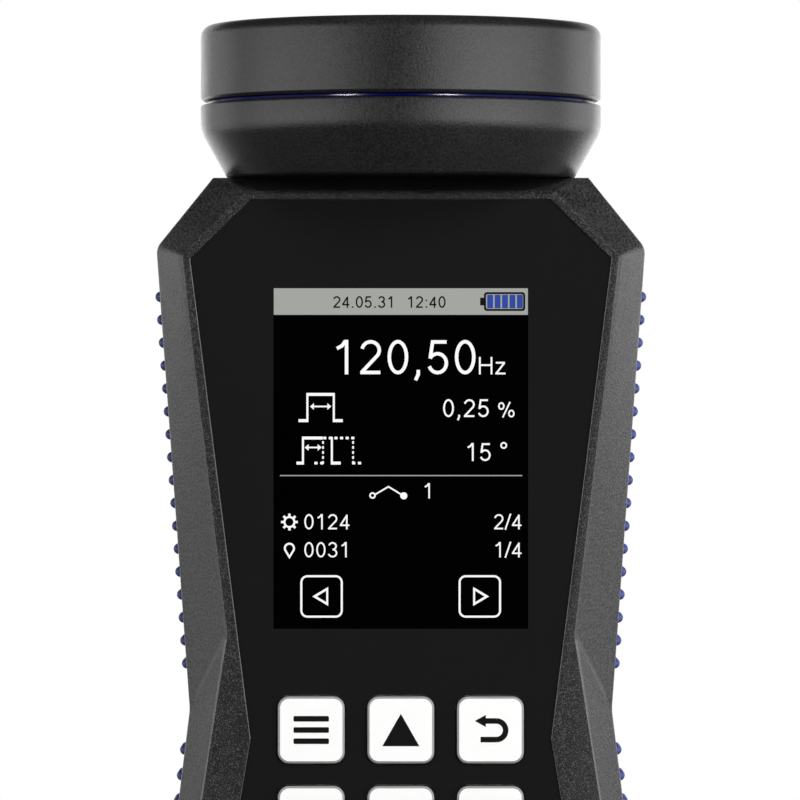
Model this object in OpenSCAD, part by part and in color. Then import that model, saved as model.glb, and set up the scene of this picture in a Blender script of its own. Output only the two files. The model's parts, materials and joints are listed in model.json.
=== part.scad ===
// Hand-held ultraviolet stroboscope: a waisted casing with a screen and nine keys, and a round lamp head on its top.
// Millimetres. The casing stands on its base at z = 0, the screen faces -Y and the lamp shines along +Z.

/* [Casing] */
// Height of the casing from its base to its top face
body_h = 165; // [160:1:176]
// Depth of the casing from the front rim to the rear face
body_d = 32; // [31:0.5:36]
// Depth of the bevel round the front face and round the rear face
bevel_d = 9; // [8:0.5:9.5]
// Depth of the straight wall between the front bevel and the joint line
joint_lip = 2; // [1.6:0.1:2.6]
// Wall thickness of the two shells
wall = 2.2; // [1.9:0.1:2.4]
// Thickness of the front wall behind the panel film
front_wall = 2; // [1.8:0.1:2.2]

/* [Casing outline at the joint line] */
// Half width of the top face
top_hw = 32.1; // [30:0.1:33]
// Half width at the shoulders
shoulder_hw = 41.8; // [40:0.1:44]
// Drop of the shoulders below the top face
shoulder_drop = 12; // [11:0.1:13.5]
// Half width at the waist
waist_hw = 36.1; // [35:0.1:37.5]
// Drop of the waist below the lower edge of the screen
waist_drop = 14.1; // [12.5:0.1:14.5]
// Half width at the hips
hip_hw = 40.8; // [39:0.1:42]
// Height of the hips above the base
hip_z = 36; // [32:0.5:39]
// Half width above the base corners
foot_hw = 40; // [38.5:0.1:41.5]
// Height of the base corners
foot_z = 12.5; // [11:0.1:14]
// Half width of the base
base_hw = 31.5; // [30:0.1:33]
// Corner radius of the top face
top_r = 0.4; // [0.3:0.1:1]
// Corner radius of the base
base_r = 2; // [1:0.1:3]
// Corner radius at the shoulders and above the base
shoulder_r = 3; // [2:0.1:4]
// Corner radius at the waist and at the hips
waist_r = 10; // [6:0.5:14]

/* [Front rim outline] */
// Half width of the rim at its top
rim_top_hw = 26; // [24.5:0.1:27.5]
// Drop of the rim below the top face
rim_top_drop = 2.5; // [2:0.1:3]
// Half width of the rim at the shoulders
rim_shoulder_hw = 37.3; // [36.3:0.1:38.3]
// Drop of the rim's shoulders below the top face
rim_shoulder_drop = 13.5; // [12.5:0.1:14.5]
// Half width of the rim at its waist
rim_waist_hw = 29.5; // [28.8:0.1:30.2]
// Drop of the rim's waist below the lower edge of the screen
rim_waist_drop = 0.7; // [0.3:0.1:1.5]
// Half width of the rim at the hips
rim_hip_hw = 37; // [36:0.1:38]
// Height of the rim's hips above the base
rim_hip_z = 40; // [37:0.5:43]
// Half width of the rim above the base corners
rim_foot_hw = 35.8; // [34.8:0.1:36.8]
// Height of the rim's base corners
rim_foot_z = 14; // [12.5:0.1:15.5]
// Half width of the rim at the base
rim_base_hw = 29; // [27.5:0.1:30]
// Corner radius of the rim
rim_r = 0.8; // [0.5:0.1:1.2]

/* [Panel film] */
// Width of the rim beside the panel
rim_w = 1.5; // [1.2:0.1:1.9]
// Depth of the panel's face below the rim
panel_recess = 0.4; // [0.3:0.05:0.6]
// Thickness of the panel film
panel_t = 0.5; // [0.4:0.05:0.6]
// Gap all round the panel film
panel_gap = 0.1; // [0.05:0.01:0.2]
// Drop of the panel's waist below the lower edge of the screen
panel_waist_drop = 18.7; // [17.5:0.1:20]
// Half width of the panel at its hips
panel_hip_hw = 31.1; // [30:0.1:32]
// Drop of the panel's hips below the last row of keys
panel_hip_drop = 5; // [4:0.1:6]
// Half width of the panel's lower edge
panel_base_hw = 25.5; // [24:0.1:27]
// Drop of the panel's lower edge below the last row of keys
panel_base_drop = 18.7; // [17.5:0.1:20]
// Height of the panel's lower corners over its lower edge
panel_corner_h = 5.5; // [4.5:0.1:6.5]

/* [Screen] */
// Width of the screen that shows
screen_w = 43.2; // [41:0.1:45]
// Height of the screen that shows
screen_h = 57.8; // [56:0.1:59]
// Drop of the middle of the screen below the top face
screen_drop = 47.9; // [46:0.1:50]
// Overlap of the window under the panel film on each side
window_lap = 1; // [0.6:0.1:1.4]
// Width of the display module
lcd_w = 50; // [48.5:0.1:51]
// Height of the display module
lcd_h = 69.2; // [67.5:0.1:70]
// Thickness of the display module
lcd_t = 3.3; // [3.2:0.05:3.6]

/* [Keys] */
// Width and height of a key
key_w = 11.3; // [10.6:0.02:12]
// Corner radius of a key
key_r = 1.9; // [1.5:0.1:2.4]
// Edge chamfer of a key
key_edge = 0.35; // [0.2:0.05:0.5]
// Height of the keys above the panel
key_rise = 0.9; // [0.7:0.05:1.1]
// Distance between keys, both ways
key_pitch = 15.18; // [14.8:0.02:15.6]
// Drop of the first row below the lower edge of the screen
key_drop = 17.1; // [16.5:0.1:18]
// Gap round a key in its opening
key_gap = 0.25; // [0.2:0.05:0.35]
// Width of the flange that holds a key in, on each side
key_flange = 0.9; // [0.7:0.05:1]
// Thickness of that flange
key_flange_t = 0.8; // [0.6:0.05:0.9]
// Press travel of a key
key_travel = 0.7; // [0.4:0.05:0.75]

/* [Grip nubs] */
// Radius of a nub
nub_r = 0.95; // [0.8:0.05:1.1]
// Rows in the upper group
nub_rows = 17; // [12:1:17]
// Row distance in the upper group
nub_pitch = 3.93; // [3.5:0.01:3.95]
// Drop of the first upper row below the top face
nub_drop = 20.3; // [20:0.1:22]
// Rows in the lower group
nub_low_rows = 7; // [4:1:7]
// Row distance in the lower group
nub_low_pitch = 4.42; // [4:0.01:4.5]
// Drop of the first lower row below the waist
nub_low_drop = 7.1; // [6.5:0.1:7.5]
// Distance between the three columns
nub_col = 3.6; // [3:0.1:4]

/* [Lamp head] */
// Radius of both lamp rings
head_r = 34.4; // [33.8:0.1:36]
// Height of the bowl from the casing's top face to its rim
bowl_h = 12.6; // [12.2:0.1:13.5]
// Height of the bowl's cone
cone_h = 8.4; // [7.5:0.1:9]
// Inset of the bowl's foot from the outside of the rings
foot_inset = 4.6; // [4.2:0.1:5]
// Thickness of the bowl's floor
bowl_floor = 2.4; // [2:0.1:2.8]
// Inset of the collar that carries the bezel from the outside of the rings
collar_inset = 2.8; // [2.6:0.05:2.9]
// Thickness of that collar
collar_t = 1.2; // [1:0.05:1.3]
// Height of that collar over the bowl's rim
collar_h = 7.6; // [7.2:0.1:8]
// Height of the groove between the two rings
groove_h = 0.7; // [0.5:0.05:1]
// Depth of the accent ring inside the groove
groove_d = 1.3; // [1:0.1:1.6]
// Thickness of the lens
lens_t = 3; // [2.6:0.1:3.4]
// Thickness of the lens gasket
lens_seal_t = 0.5; // [0.4:0.05:0.6]
// Thickness of the bezel's lip over the lens
lip_t = 2.6; // [2.4:0.1:3]
// Width of the bezel's lip from the outside of the rings to the lens
lip_w = 5.4; // [4.9:0.1:6.4]
// Edge radius at the top of the bezel
bezel_r = 2.4; // [1.8:0.1:2.5]

/* [Lamp parts] */
// Distance between light emitters
led_pitch = 10.6; // [10.2:0.05:10.8]
// Width of a light emitter
led_w = 3.5; // [3:0.1:3.6]
// Radius of a reflector cup at its mouth
cup_r = 4.95; // [4.6:0.05:5]
// Radius of a reflector cup at its foot
cup_foot_r = 2.7; // [2.6:0.05:3]
// Thickness of the emitter board
led_board_t = 1.6; // [1.4:0.1:1.8]
// Thickness of the thermal pad
pad_t = 0.5; // [0.4:0.05:0.6]
// Thickness of the heat sink's plate
sink_t = 3; // [2.6:0.1:3.2]
// Distance between the heat sink's fins
fin_pitch = 4; // [3.6:0.1:4.5]
// Radius of the neck below the bowl
neck_r = 3.2; // [3:0.05:3.3]
// Radius of the lead's way through the neck
neck_bore_r = 2.2; // [2:0.05:2.3]
// Distance of the neck screws from the middle
neck_screw_x = 14; // [13:0.1:15]
// Radius of the lamp lead
led_lead_r = 1.4; // [1.2:0.05:1.5]

/* [Boards and power] */
// Thickness of the main board
board_t = 1.6; // [1.4:0.1:1.8]
// Width of the driver board
driver_w = 46; // [44:0.5:48]
// Height of the driver board
driver_h = 40; // [38:0.5:41]
// Drop of the driver board's upper edge below the top face
driver_drop = 17; // [16:0.1:18]
// Diameter of a storage capacitor
cap_d = 10; // [9:0.1:10.4]
// Length of a storage capacitor
cap_l = 11; // [10:0.1:11.5]
// Width of the battery
batt_w = 42; // [40:0.1:42.4]
// Height of the battery
batt_h = 56; // [54:0.5:57]
// Thickness of the battery
batt_t = 9.2; // [8.5:0.1:9.6]
// Height of the battery's lower end above the base
batt_z = 30; // [29:0.1:31]

/* [Sockets and fixings] */
// Distance of each socket from the middle
socket_x = 9; // [8.4:0.1:9.4]
// Depth of both sockets' mouths inside the base
mouth_d = 0.4; // [0.2:0.05:0.8]
// Radius of the trigger socket's bore
jack_r = 1.8; // [1.75:0.01:1.9]
// Depth of the trigger socket's bore
jack_l = 13; // [12:0.1:13.4]
// Radius of the tripod bush's bore
tripod_r = 3.175; // [3:0.005:3.3]
// Outside radius of the tripod bush
bush_r = 4.75; // [4.5:0.05:5]
// Length of the tripod bush
bush_l = 8; // [7:0.1:8.4]
// Height of the tripod bush above the base
bush_z = 97.5; // [96:0.1:98.5]
// Shank radius of the case screws
screw_r = 1.25; // [1.1:0.05:1.35]

/* [Hidden] */
$fn = 48;
c_shell = "#343536";
c_film = "#1b1b1c";
c_key = "#f2f2f2";
c_blue = "#3c4482";
c_metal = "#b9bcbf";
c_board = "#1f5a3c";
c_black = "#161617";
c_white = "#e4e6e8";

arc_n = 3;
slide = 0.05;

front_y = -body_d / 2;
rear_y = body_d / 2;
edge_y = front_y + bevel_d;
split_y = edge_y + joint_lip;
tail_y = rear_y - bevel_d;
panel_y = front_y + panel_recess;
floor_y = panel_y + panel_t;
cave_y = floor_y + front_wall;
board_y = cave_y + lcd_t;
board_back = board_y + board_t;
rear_in = rear_y - wall;
driver_y = 0;
driver_back = driver_y + board_t;

screen_z = body_h - screen_drop;
screen_low = screen_z - screen_h / 2;
shoulder_z = body_h - shoulder_drop;
waist_z = screen_low - waist_drop;
row_z = screen_low - key_drop;
last_row_z = row_z - 2 * key_pitch;

out_half = [[base_hw, 0], [foot_hw, foot_z], [hip_hw, hip_z], [waist_hw, waist_z],
    [shoulder_hw, shoulder_z], [top_hw, body_h]];
out_radii = [base_r, shoulder_r, waist_r, waist_r, shoulder_r, top_r];
rim_half = [[rim_base_hw, 0], [rim_foot_hw, rim_foot_z], [rim_hip_hw, rim_hip_z],
    [rim_waist_hw, screen_low - rim_waist_drop],
    [rim_shoulder_hw, body_h - rim_shoulder_drop], [rim_top_hw, body_h - rim_top_drop]];
rim_radii = [rim_r, rim_r, rim_r, rim_r, rim_r, rim_r];
out_raw = both_sides(out_half);
rim_raw = both_sides(rim_half);
out_ring = ring(out_half, out_radii);
rim_ring = ring(rim_half, rim_radii);

// The panel follows the rim's upper part and runs on down to a waist of its own
rim_in = inset(rim_raw, rim_w);
side_slope = (rim_shoulder_hw - rim_waist_hw)
    / (body_h - rim_shoulder_drop - screen_low + rim_waist_drop);
panel_waist_z = screen_low - panel_waist_drop;
panel_waist_hw = rim_in[4].x - side_slope * (rim_in[4].y - panel_waist_z);
panel_low = last_row_z - panel_base_drop;
panel_half = [[panel_base_hw, panel_low], [panel_hip_hw - 1, panel_low + panel_corner_h],
    [panel_hip_hw, last_row_z - panel_hip_drop], [panel_waist_hw, panel_waist_z], rim_in[4], rim_in[5]];
panel_raw = both_sides(panel_half);

top_boss_inset = 12.3;
mid_boss_inset = 8.8;
low_boss_inset = 4;
top_boss = [shoulder_hw - top_boss_inset, shoulder_z];
mid_boss = [waist_hw - mid_boss_inset, waist_z];
low_boss = [base_hw - low_boss_inset, foot_z];
case_bosses = [for (s = [-1, 1]) each [[s * top_boss.x, top_boss.y], [s * mid_boss.x, mid_boss.y],
    [s * low_boss.x, low_boss.y]]];
front_boss_r = 3;
rear_boss_r = 3.8;
well_d = 5;
well_r = 2.9;
screw_seat_y = rear_y - well_d;
pilot_end_y = cave_y + 1.1;

post_r = 2.2;
post_x = lcd_w / 2 + post_r + 0.4;
post_inset = 13.7;
post_top_z = screen_z + lcd_h / 2 - post_inset;
post_low_x = 18;
post_low_z = last_row_z - post_inset;
board_posts = [for (s = [-1, 1]) each [[s * post_x, post_top_z], [s * post_low_x, post_low_z]]];
board_hw = post_x + post_r + 0.2;
board_low_hw = mid_boss.x - rear_boss_r - 0.5;
board_step_z = waist_z + rear_boss_r + 2;
board_low_z = post_low_z - 5;
board_top_z = screen_z + lcd_h / 2;

switch_w = 6;
switch_h = 1.4;
switch_bore_r = 1.9;
stem_r = 1.6;
flange_y = cave_y + 0.1;
key_top_y = panel_y - key_rise;

head_z = body_h;
foot_r = head_r - foot_inset;
collar_r = head_r - collar_inset;
lens_open_r = head_r - lip_w;
bowl_top = head_z + bowl_h;
bezel_z = bowl_top + groove_h;
collar_top = bowl_top + collar_h;
lens_top = collar_top + lens_t;
lip_z = lens_top + lens_seal_t;
head_top = lip_z + lip_t;
bowl_in_z = head_z + bowl_floor;
collar_in = collar_r - collar_t;
cone_slope = (head_r - foot_r) / cone_h;
bowl_in_r = foot_r + cone_slope * bowl_floor - 2.7;
bowl_in_top_z = bowl_in_z + (collar_in - bowl_in_r) / cone_slope;
reflector_top = collar_top - 0.4;
reflector_h = 8.1;
led_top = reflector_top - reflector_h;
led_board_z = led_top - led_board_t;
pad_z = led_board_z - pad_t;
sink_z = pad_z - sink_t;
head_post_r = 2.6;
head_screw_d = collar_in - head_post_r - 1.2;
fin_r = head_screw_d - head_post_r - 1.5;
fin_t = 1.2;
head_screw_at = [for (a = [30, 150, 270]) [head_screw_d * cos(a), head_screw_d * sin(a)]];
led_at = [for (q = [-2:2]) for (r = [max(-2, -q - 2):min(2, 2 - q)])
    [led_pitch * (q + r / 2), led_pitch * r * sin(60)]];
clamp_t = 3;
clamp_z = body_h - wall - clamp_t;

driver_top_z = body_h - driver_drop;
driver_low_z = driver_top_z - driver_h;
spacer_at = [for (s = [-1, 1]) each [[s * (driver_w / 2 - 4), driver_low_z + 4],
    [s * (driver_w / 2 - 4), driver_top_z - 4]]];
plug_in_w = 8;
plug_in_h = 6;
plug_in_t = 5;
batt_plug_x = 16;
batt_plug_gap = 4;
lamp_plug_x = 8;
lamp_plug_drop = 3;
flex_w = 18;
flex_l = 1;
flex_plug_w = 20;
flex_plug_h = 2.6;
flex_plug_t = 1.8;
coil_r = 6.5;
coil_in_r = 2.6;
coil_h = 6;
coil_x = 9;
coil_rise = 27;
led_base_t = 0.9;
led_dome_r = 1.3;
clamp_screw_r = 1.45;
clamp_head_r = 2.7;
clamp_head_h = 2;
batt_y = rear_in - 2 - batt_t;
batt_top = batt_z + batt_h;
batt_rib_t = 1;
batt_rib_x = batt_w / 2 + 0.4 + batt_rib_t / 2;
batt_rib_low_z = batt_z + 4;
batt_rib_top_z = batt_top - 16;
batt_lead_x = 14;
batt_lead_r = 0.9;

port_y = 0;
port_t = 1.2;
port_back = port_y + port_t;
port_low_z = wall + 0.3;
port_top_z = 22;
port_hw = 15;
port_post_x = 11;
port_post_z = 18.5;
port_posts = [for (s = [-1, 1]) [s * port_post_x, port_post_z]];
port_bite = 5.5;
usb_w = 8.94;
usb_t = 3.26;
usb_l = 7.35;
usb_r = 1.6;
usb_y = port_back + usb_t / 2;
usb_z = mouth_d;
usb_gap = 0.15;
tongue_w = 6.7;
tongue_t = 0.7;
jack_w = 7;
jack_y = port_back + 3.3;
jack_nose_r = 3;
jack_z = mouth_d;

// Geometry helpers
function unit(v) = v / norm(v);
function lerp(a, b, t) = a + (b - a) * t;
function both_sides(half) = concat(half, [for (i = [len(half) - 1:-1:0]) [-half[i].x, half[i].y]]);
function inset(p, d) = let (n = len(p)) [for (i = [0:n - 1])
    let (u = unit(p[i] - p[(i + n - 1) % n]), v = unit(p[(i + 1) % n] - p[i]),
        a = [-u.y, u.x], b = [-v.y, v.x])
    p[i] + (a + b) * d / (1 + a * b)];
function corner_arc(a, b, c, r, n) = let (u = unit(a - b), v = unit(c - b), h = acos(u * v) / 2,
    m = b + unit(u + v) * r / sin(h), s = unit(b + u * r / tan(h) - m), e = unit(b + v * r / tan(h) - m),
    w = acos(s * e))
    [for (k = [0:n]) m + (s * sin(w * (n - k) / n) + e * sin(w * k / n)) * r / sin(w)];
function rounded(p, r, n) = let (m = len(p)) [for (i = [0:m - 1])
    corner_arc(p[(i + m - 1) % m], p[i], p[(i + 1) % m], r[i], n)];
function ring(half, radii) = let (p = both_sides(half),
    r = concat(radii, [for (i = [len(radii) - 1:-1:0]) radii[i]]),
    arcs = rounded(p, r, arc_n), n = len(p))
    [for (i = [0:n - 1]) each arcs[i]];

// A solid through outlines of one point count, each given with its depth and alike on its left and right.
// Its two end faces are strips from side to side, because the outline is waisted
module loft(levels) {
    n = len(levels[0][1]);
    last = len(levels) - 1;
    points = [for (l = levels) each [for (p = l[1]) [p.x, l[0], p.y]]];
    front = [for (i = [0:n / 2 - 2]) [n - 1 - i, n - 2 - i, i + 1, i]];
    back = [for (i = [0:n / 2 - 2]) [for (k = [i, i + 1, n - 2 - i, n - 1 - i]) last * n + k]];
    sides = [for (j = [0:last - 1]) for (i = [0:n - 1]) let (k = (i + 1) % n)
        each [[j * n + i, j * n + k, (j + 1) * n + k], [j * n + i, (j + 1) * n + k, (j + 1) * n + i]]];
    polyhedron(points, concat(front, back, sides));
}
// An outline in X and Z, drawn through from one depth to another
module slab(y0, y1) translate([0, y1, 0]) rotate([90, 0, 0]) linear_extrude(y1 - y0) children();
module rod_y(at, y0, y1, r) translate([at.x, y1, at.y]) rotate([90, 0, 0]) cylinder(h = y1 - y0, r = r);
module box(x0, x1, y0, y1, z0, z1) translate([x0, y0, z0]) cube([x1 - x0, y1 - y0, z1 - z0]);
module rounded_square(w, h, r) {
    square([w - 2 * r, h], center = true);
    square([w, h - 2 * r], center = true);
    for (x = [-1, 1]) for (y = [-1, 1]) translate([x * (w / 2 - r), y * (h / 2 - r)]) circle(r);
}
// A socket screw with its head seat at the origin and its head along +Z
module screw(head_r, head_h, shank_r, shank_l) {
    difference() {
        union() {
            cylinder(h = head_h, r = head_r);
            translate([0, 0, -shank_l]) cylinder(h = shank_l, r = shank_r);
        }
        translate([0, 0, head_h * 0.4]) cylinder(h = head_h, r = head_r * 0.55, $fn = 6);
    }
}
// A round lead through a list of places
module lead(path, r) {
    sides = 10;
    n = len(path);
    dirs = [for (i = [0:n - 1]) unit(path[min(i + 1, n - 1)] - path[max(i - 1, 0)])];
    points = [for (i = [0:n - 1]) let (d = dirs[i], u = unit(cross(d, [1, 0.13, 0.07])), v = cross(d, u))
        each [for (k = [0:sides - 1]) path[i] + r * (u * cos(360 * k / sides) + v * sin(360 * k / sides))]];
    start = [for (k = [0:sides - 1]) k];
    end = [for (k = [sides - 1:-1:0]) (n - 1) * sides + k];
    skin = [for (i = [0:n - 2]) for (k = [0:sides - 1]) let (m = (k + 1) % sides)
        each [[i * sides + k, (i + 1) * sides + m, i * sides + m],
            [i * sides + k, (i + 1) * sides + k, (i + 1) * sides + m]]];
    polyhedron(points, concat([start, end], skin));
}

// Casing
module front_cavity() {
    t = (cave_y - front_y) / bevel_d;
    loft([[cave_y, inset(lerp(rim_raw, out_raw, t), wall)], [edge_y, inset(out_raw, wall)],
        [split_y + 1, inset(out_raw, wall)]]);
}
module rear_cavity() {
    t = (rear_y - rear_in) / bevel_d;
    loft([[split_y - 1, inset(out_raw, wall)], [tail_y, inset(out_raw, wall)],
        [rear_in, inset(lerp(rim_raw, out_raw, t), wall)]]);
}
module front_shell() color(c_shell)
    difference() {
        union() {
            difference() {
                loft([[front_y, rim_ring], [edge_y, out_ring], [split_y, out_ring]]);
                front_cavity();
            }
            for (p = case_bosses) rod_y(p, cave_y - 0.5, split_y, front_boss_r);
            for (p = board_posts) rod_y(p, cave_y - 0.5, board_y, post_r);
        }
        slab(front_y - 1, floor_y) polygon(panel_raw);
        slab(floor_y - 0.5, cave_y + 0.5) translate([0, screen_z])
            square([screen_w + 2 * window_lap, screen_h + 2 * window_lap], center = true);
        for (x = [-1:1]) for (z = [0:2]) slab(floor_y - 0.5, cave_y + 0.5)
            translate([x * key_pitch, row_z - z * key_pitch])
                rounded_square(key_w + 2 * key_gap, key_w + 2 * key_gap, key_r + key_gap);
        for (p = case_bosses) rod_y(p, pilot_end_y, split_y + 1, screw_r + slide);
        for (p = board_posts) rod_y(p, cave_y + 0.6, board_y + 1, 1 + slide);
        slab(split_y - 1, split_y + 1) gasket_outline();
    }
module gasket_outline() difference() {
    polygon(inset(out_raw, 0.65));
    polygon(inset(out_raw, 1.5));
}
module case_gasket() color(c_black) slab(split_y - 1, split_y) gasket_outline();
module rear_shell() color(c_shell)
    difference() {
        union() {
            difference() {
                loft([[split_y, out_ring], [tail_y, out_ring], [rear_y, rim_ring]]);
                rear_cavity();
            }
            for (p = case_bosses) rod_y(p, split_y, rear_y - 0.5, rear_boss_r);
            rod_y([0, bush_z], rear_y - bush_l - 1.2, rear_y - 0.5, bush_r + 2.2);
            for (s = [-1, 1]) box(s * batt_rib_x - batt_rib_t / 2, s * batt_rib_x + batt_rib_t / 2,
                batt_y + 2, rear_in + 0.5, batt_rib_low_z, batt_rib_top_z);
            for (p = port_posts) rod_y(p, port_back, rear_in + 0.5, post_r);
        }
        for (p = case_bosses) rod_y(p, split_y - 1, rear_y + 1, screw_r + 0.2);
        for (p = case_bosses) rod_y(p, screw_seat_y, rear_y + 1, well_r);
        rod_y([0, bush_z], rear_y - bush_l, rear_y + 1, bush_r + slide);
        for (p = port_posts) rod_y(p, port_back - 1, port_back + 6, 1 + slide);
        translate([0, 0, body_h - wall - 1]) cylinder(h = wall + 2, r = neck_r + 0.2);
        for (s = [-1, 1]) translate([s * neck_screw_x, 0, body_h - wall - 1]) cylinder(h = wall + 2, r = 1.65);
        translate([-socket_x, usb_y, -1]) linear_extrude(wall + 2)
            rounded_square(usb_w + 2 * usb_gap, usb_t + 2 * usb_gap, usb_r + usb_gap);
        translate([socket_x, jack_y, -1]) cylinder(h = wall + 1.1, r = jack_nose_r + 0.2);
    }
module case_screws() color(c_metal)
    for (p = case_bosses) translate([p.x, screw_seat_y, p.y]) rotate([-90, 0, 0])
        screw(2.6, 2, screw_r, screw_seat_y - pilot_end_y - 1);
module front_panel() color(c_film)
    difference() {
        slab(panel_y, floor_y) polygon(inset(panel_raw, panel_gap));
        slab(panel_y - 1, floor_y + 1) translate([0, screen_z]) square([screen_w, screen_h], center = true);
        for (x = [-1:1]) for (z = [0:2]) slab(panel_y - 1, floor_y + 1)
            translate([x * key_pitch, row_z - z * key_pitch])
                rounded_square(key_w + 2 * key_gap, key_w + 2 * key_gap, key_r + key_gap);
    }

// Screen, boards and keys
module display_window() color(c_black)
    slab(floor_y, cave_y) translate([0, screen_z])
        square([screen_w + 2 * window_lap - 0.2, screen_h + 2 * window_lap - 0.2], center = true);
module display_module() color(c_metal)
    slab(cave_y, board_y) translate([0, screen_z]) square([lcd_w, lcd_h], center = true);
flex_z = screen_z - lcd_h / 2;
module display_flex() color("#b0742c") box(-flex_w / 2, flex_w / 2, board_y - 0.9, board_y - 0.6, flex_z - flex_l, flex_z);
module main_board() color(c_board)
    difference() {
        slab(board_y, board_back) polygon(both_sides([[board_low_hw - 4, board_low_z], [board_low_hw, board_low_z + 4],
            [board_low_hw, board_step_z - 1], [board_hw, board_step_z + 2], [board_hw, board_top_z - 9],
            [board_hw - 6, board_top_z]]));
        for (p = board_posts) rod_y(p, board_y - 1, board_back + 1, 1.15);
    }
module board_connectors() color(c_white) {
    box(-flex_plug_w / 2, flex_plug_w / 2, board_y - flex_plug_t, board_y, flex_z - flex_l - flex_plug_h, flex_z - flex_l);
    box(batt_plug_x - plug_in_w / 2, batt_plug_x + plug_in_w / 2, board_back, board_back + plug_in_t,
        batt_top + batt_plug_gap, batt_top + batt_plug_gap + plug_in_h);
    box(lamp_plug_x - plug_in_w / 2, lamp_plug_x + plug_in_w / 2, driver_back, driver_back + plug_in_t,
        driver_top_z - lamp_plug_drop - plug_in_h, driver_top_z - lamp_plug_drop);
}
module tact_switches() color(c_black)
    for (x = [-1:1]) for (z = [0:2]) {
        at = [x * key_pitch, row_z - z * key_pitch];
        difference() {
            box(at.x - switch_w / 2, at.x + switch_w / 2, board_y - switch_h, board_y,
                at.y - switch_w / 2, at.y + switch_w / 2);
            rod_y(at, board_y - switch_h - 1, board_y - 0.2, switch_bore_r);
        }
    }
module key_cap(col, row) {
    at = [col * key_pitch, row_z - row * key_pitch];
    translate([at.x, 0, at.y]) {
        slab(key_top_y + key_edge, flange_y) rounded_square(key_w, key_w, key_r);
        hull() {
            slab(key_top_y + key_edge, key_top_y + key_edge + 0.01) rounded_square(key_w, key_w, key_r, $fn = 32);
            slab(key_top_y, key_top_y + 0.01)
                rounded_square(key_w - 2 * key_edge, key_w - 2 * key_edge, key_r - key_edge, $fn = 32);
        }
        slab(flange_y, flange_y + key_flange_t)
            rounded_square(key_w + 2 * key_flange, key_w + 2 * key_flange, key_r + key_flange);
        rod_y([0, 0], flange_y, board_y - switch_h + 0.3, stem_r);
    }
}
module key_menu() color(c_key) key_cap(-1, 0);
module key_up() color(c_key) key_cap(0, 0);
module key_back() color(c_key) key_cap(1, 0);
module key_left() color(c_key) key_cap(-1, 1);
module key_enter() color(c_key) key_cap(0, 1);
module key_right() color(c_key) key_cap(1, 1);
module key_power() color(c_key) key_cap(-1, 2);
module key_down() color(c_key) key_cap(0, 2);
module key_light() color(c_key) key_cap(1, 2);
module board_screws() color(c_metal) {
    for (p = board_posts) translate([p.x, board_back, p.y]) rotate([-90, 0, 0])
        screw(1.9, 1.4, 1, board_back - cave_y - 1);
    for (p = spacer_at) translate([p.x, driver_back, p.y]) rotate([-90, 0, 0]) screw(1.9, 1.4, 1, 6);
}
module board_spacers() color(c_metal)
    for (p = spacer_at) difference() {
        rod_y(p, board_back, driver_y, 2.2);
        rod_y(p, driver_y - 6, driver_y + 1, 1 + slide);
    }
module driver_board() color(c_board)
    difference() {
        box(-driver_w / 2, driver_w / 2, driver_y, driver_back, driver_low_z, driver_top_z);
        for (p = spacer_at) rod_y(p, driver_y - 1, driver_back + 1, 1.15);
    }
module flash_capacitors() color(c_black)
    for (x = [-1:1]) rod_y([x * (cap_d + 1), driver_low_z + 10], driver_back, driver_back + cap_l, cap_d / 2);
module boost_inductor() color(c_black)
    difference() {
        rod_y([-coil_x, driver_low_z + coil_rise], driver_back, driver_back + coil_h, coil_r);
        rod_y([-coil_x, driver_low_z + coil_rise], driver_back + 1, driver_back + coil_h + 1, coil_in_r);
    }
module battery_pack() color("#3a5f9a")
    slab(batt_y, batt_y + batt_t) translate([0, batt_z + batt_h / 2]) rounded_square(batt_w, batt_h, 2.5);
module battery_pad() color(c_black)
    box(-batt_w / 2 + 4, batt_w / 2 - 4, batt_y + batt_t, rear_in, batt_z + 6, batt_top - 6);
module battery_lead() color("#9c2b25")
    lead([[batt_lead_x, batt_y + 4, batt_top], [batt_lead_x, batt_y + 4, batt_top + 0.9],
        [lerp(batt_lead_x, batt_plug_x, 0.1), batt_y + 2.8, batt_top + 1.9],
        [lerp(batt_lead_x, batt_plug_x, 0.5), batt_y - 2.6, batt_top + 2.1],
        [lerp(batt_lead_x, batt_plug_x, 0.9), board_back + 3.6, batt_top + batt_plug_gap - 1.8],
        [batt_plug_x, board_back + 2.5, batt_top + batt_plug_gap - 0.9],
        [batt_plug_x, board_back + 2.5, batt_top + batt_plug_gap]], batt_lead_r);
module tripod_bush() color("#b89a55")
    difference() {
        rod_y([0, bush_z], rear_y - bush_l, rear_y, bush_r);
        rod_y([0, bush_z], rear_y - bush_l - 1, rear_y + 1, tripod_r);
    }

// Sockets in the base
module port_board() color(c_board)
    difference() {
        box(-port_hw, port_hw, port_y, port_back, port_low_z, port_top_z);
        for (p = port_posts) rod_y(p, port_y - 1, port_back + 1, 1.15);
    }
module port_screws() color(c_metal)
    for (p = port_posts) translate([p.x, port_y, p.y]) rotate([90, 0, 0]) screw(1.9, 1.4, 1, port_t + port_bite);
module usb_port() color(c_metal)
    translate([-socket_x, usb_y, usb_z]) difference() {
        linear_extrude(usb_l) rounded_square(usb_w, usb_t, usb_r);
        difference() {
            translate([0, 0, -1]) linear_extrude(usb_l - 0.2) rounded_square(usb_w - 0.6, usb_t - 0.6, usb_r - 0.3);
            translate([-tongue_w / 2, -tongue_t / 2, 1]) cube([tongue_w, tongue_t, usb_l]);
        }
    }
module trigger_jack() color(c_black)
    difference() {
        union() {
            box(socket_x - jack_w / 2, socket_x + jack_w / 2, port_back, port_back + 6.6, wall + 0.2, jack_z + jack_l + 1);
            translate([socket_x, jack_y, jack_z]) cylinder(h = wall + 1, r = jack_nose_r);
        }
        translate([socket_x, jack_y, jack_z - 1]) cylinder(h = jack_l + 1, r = jack_r);
    }

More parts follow.
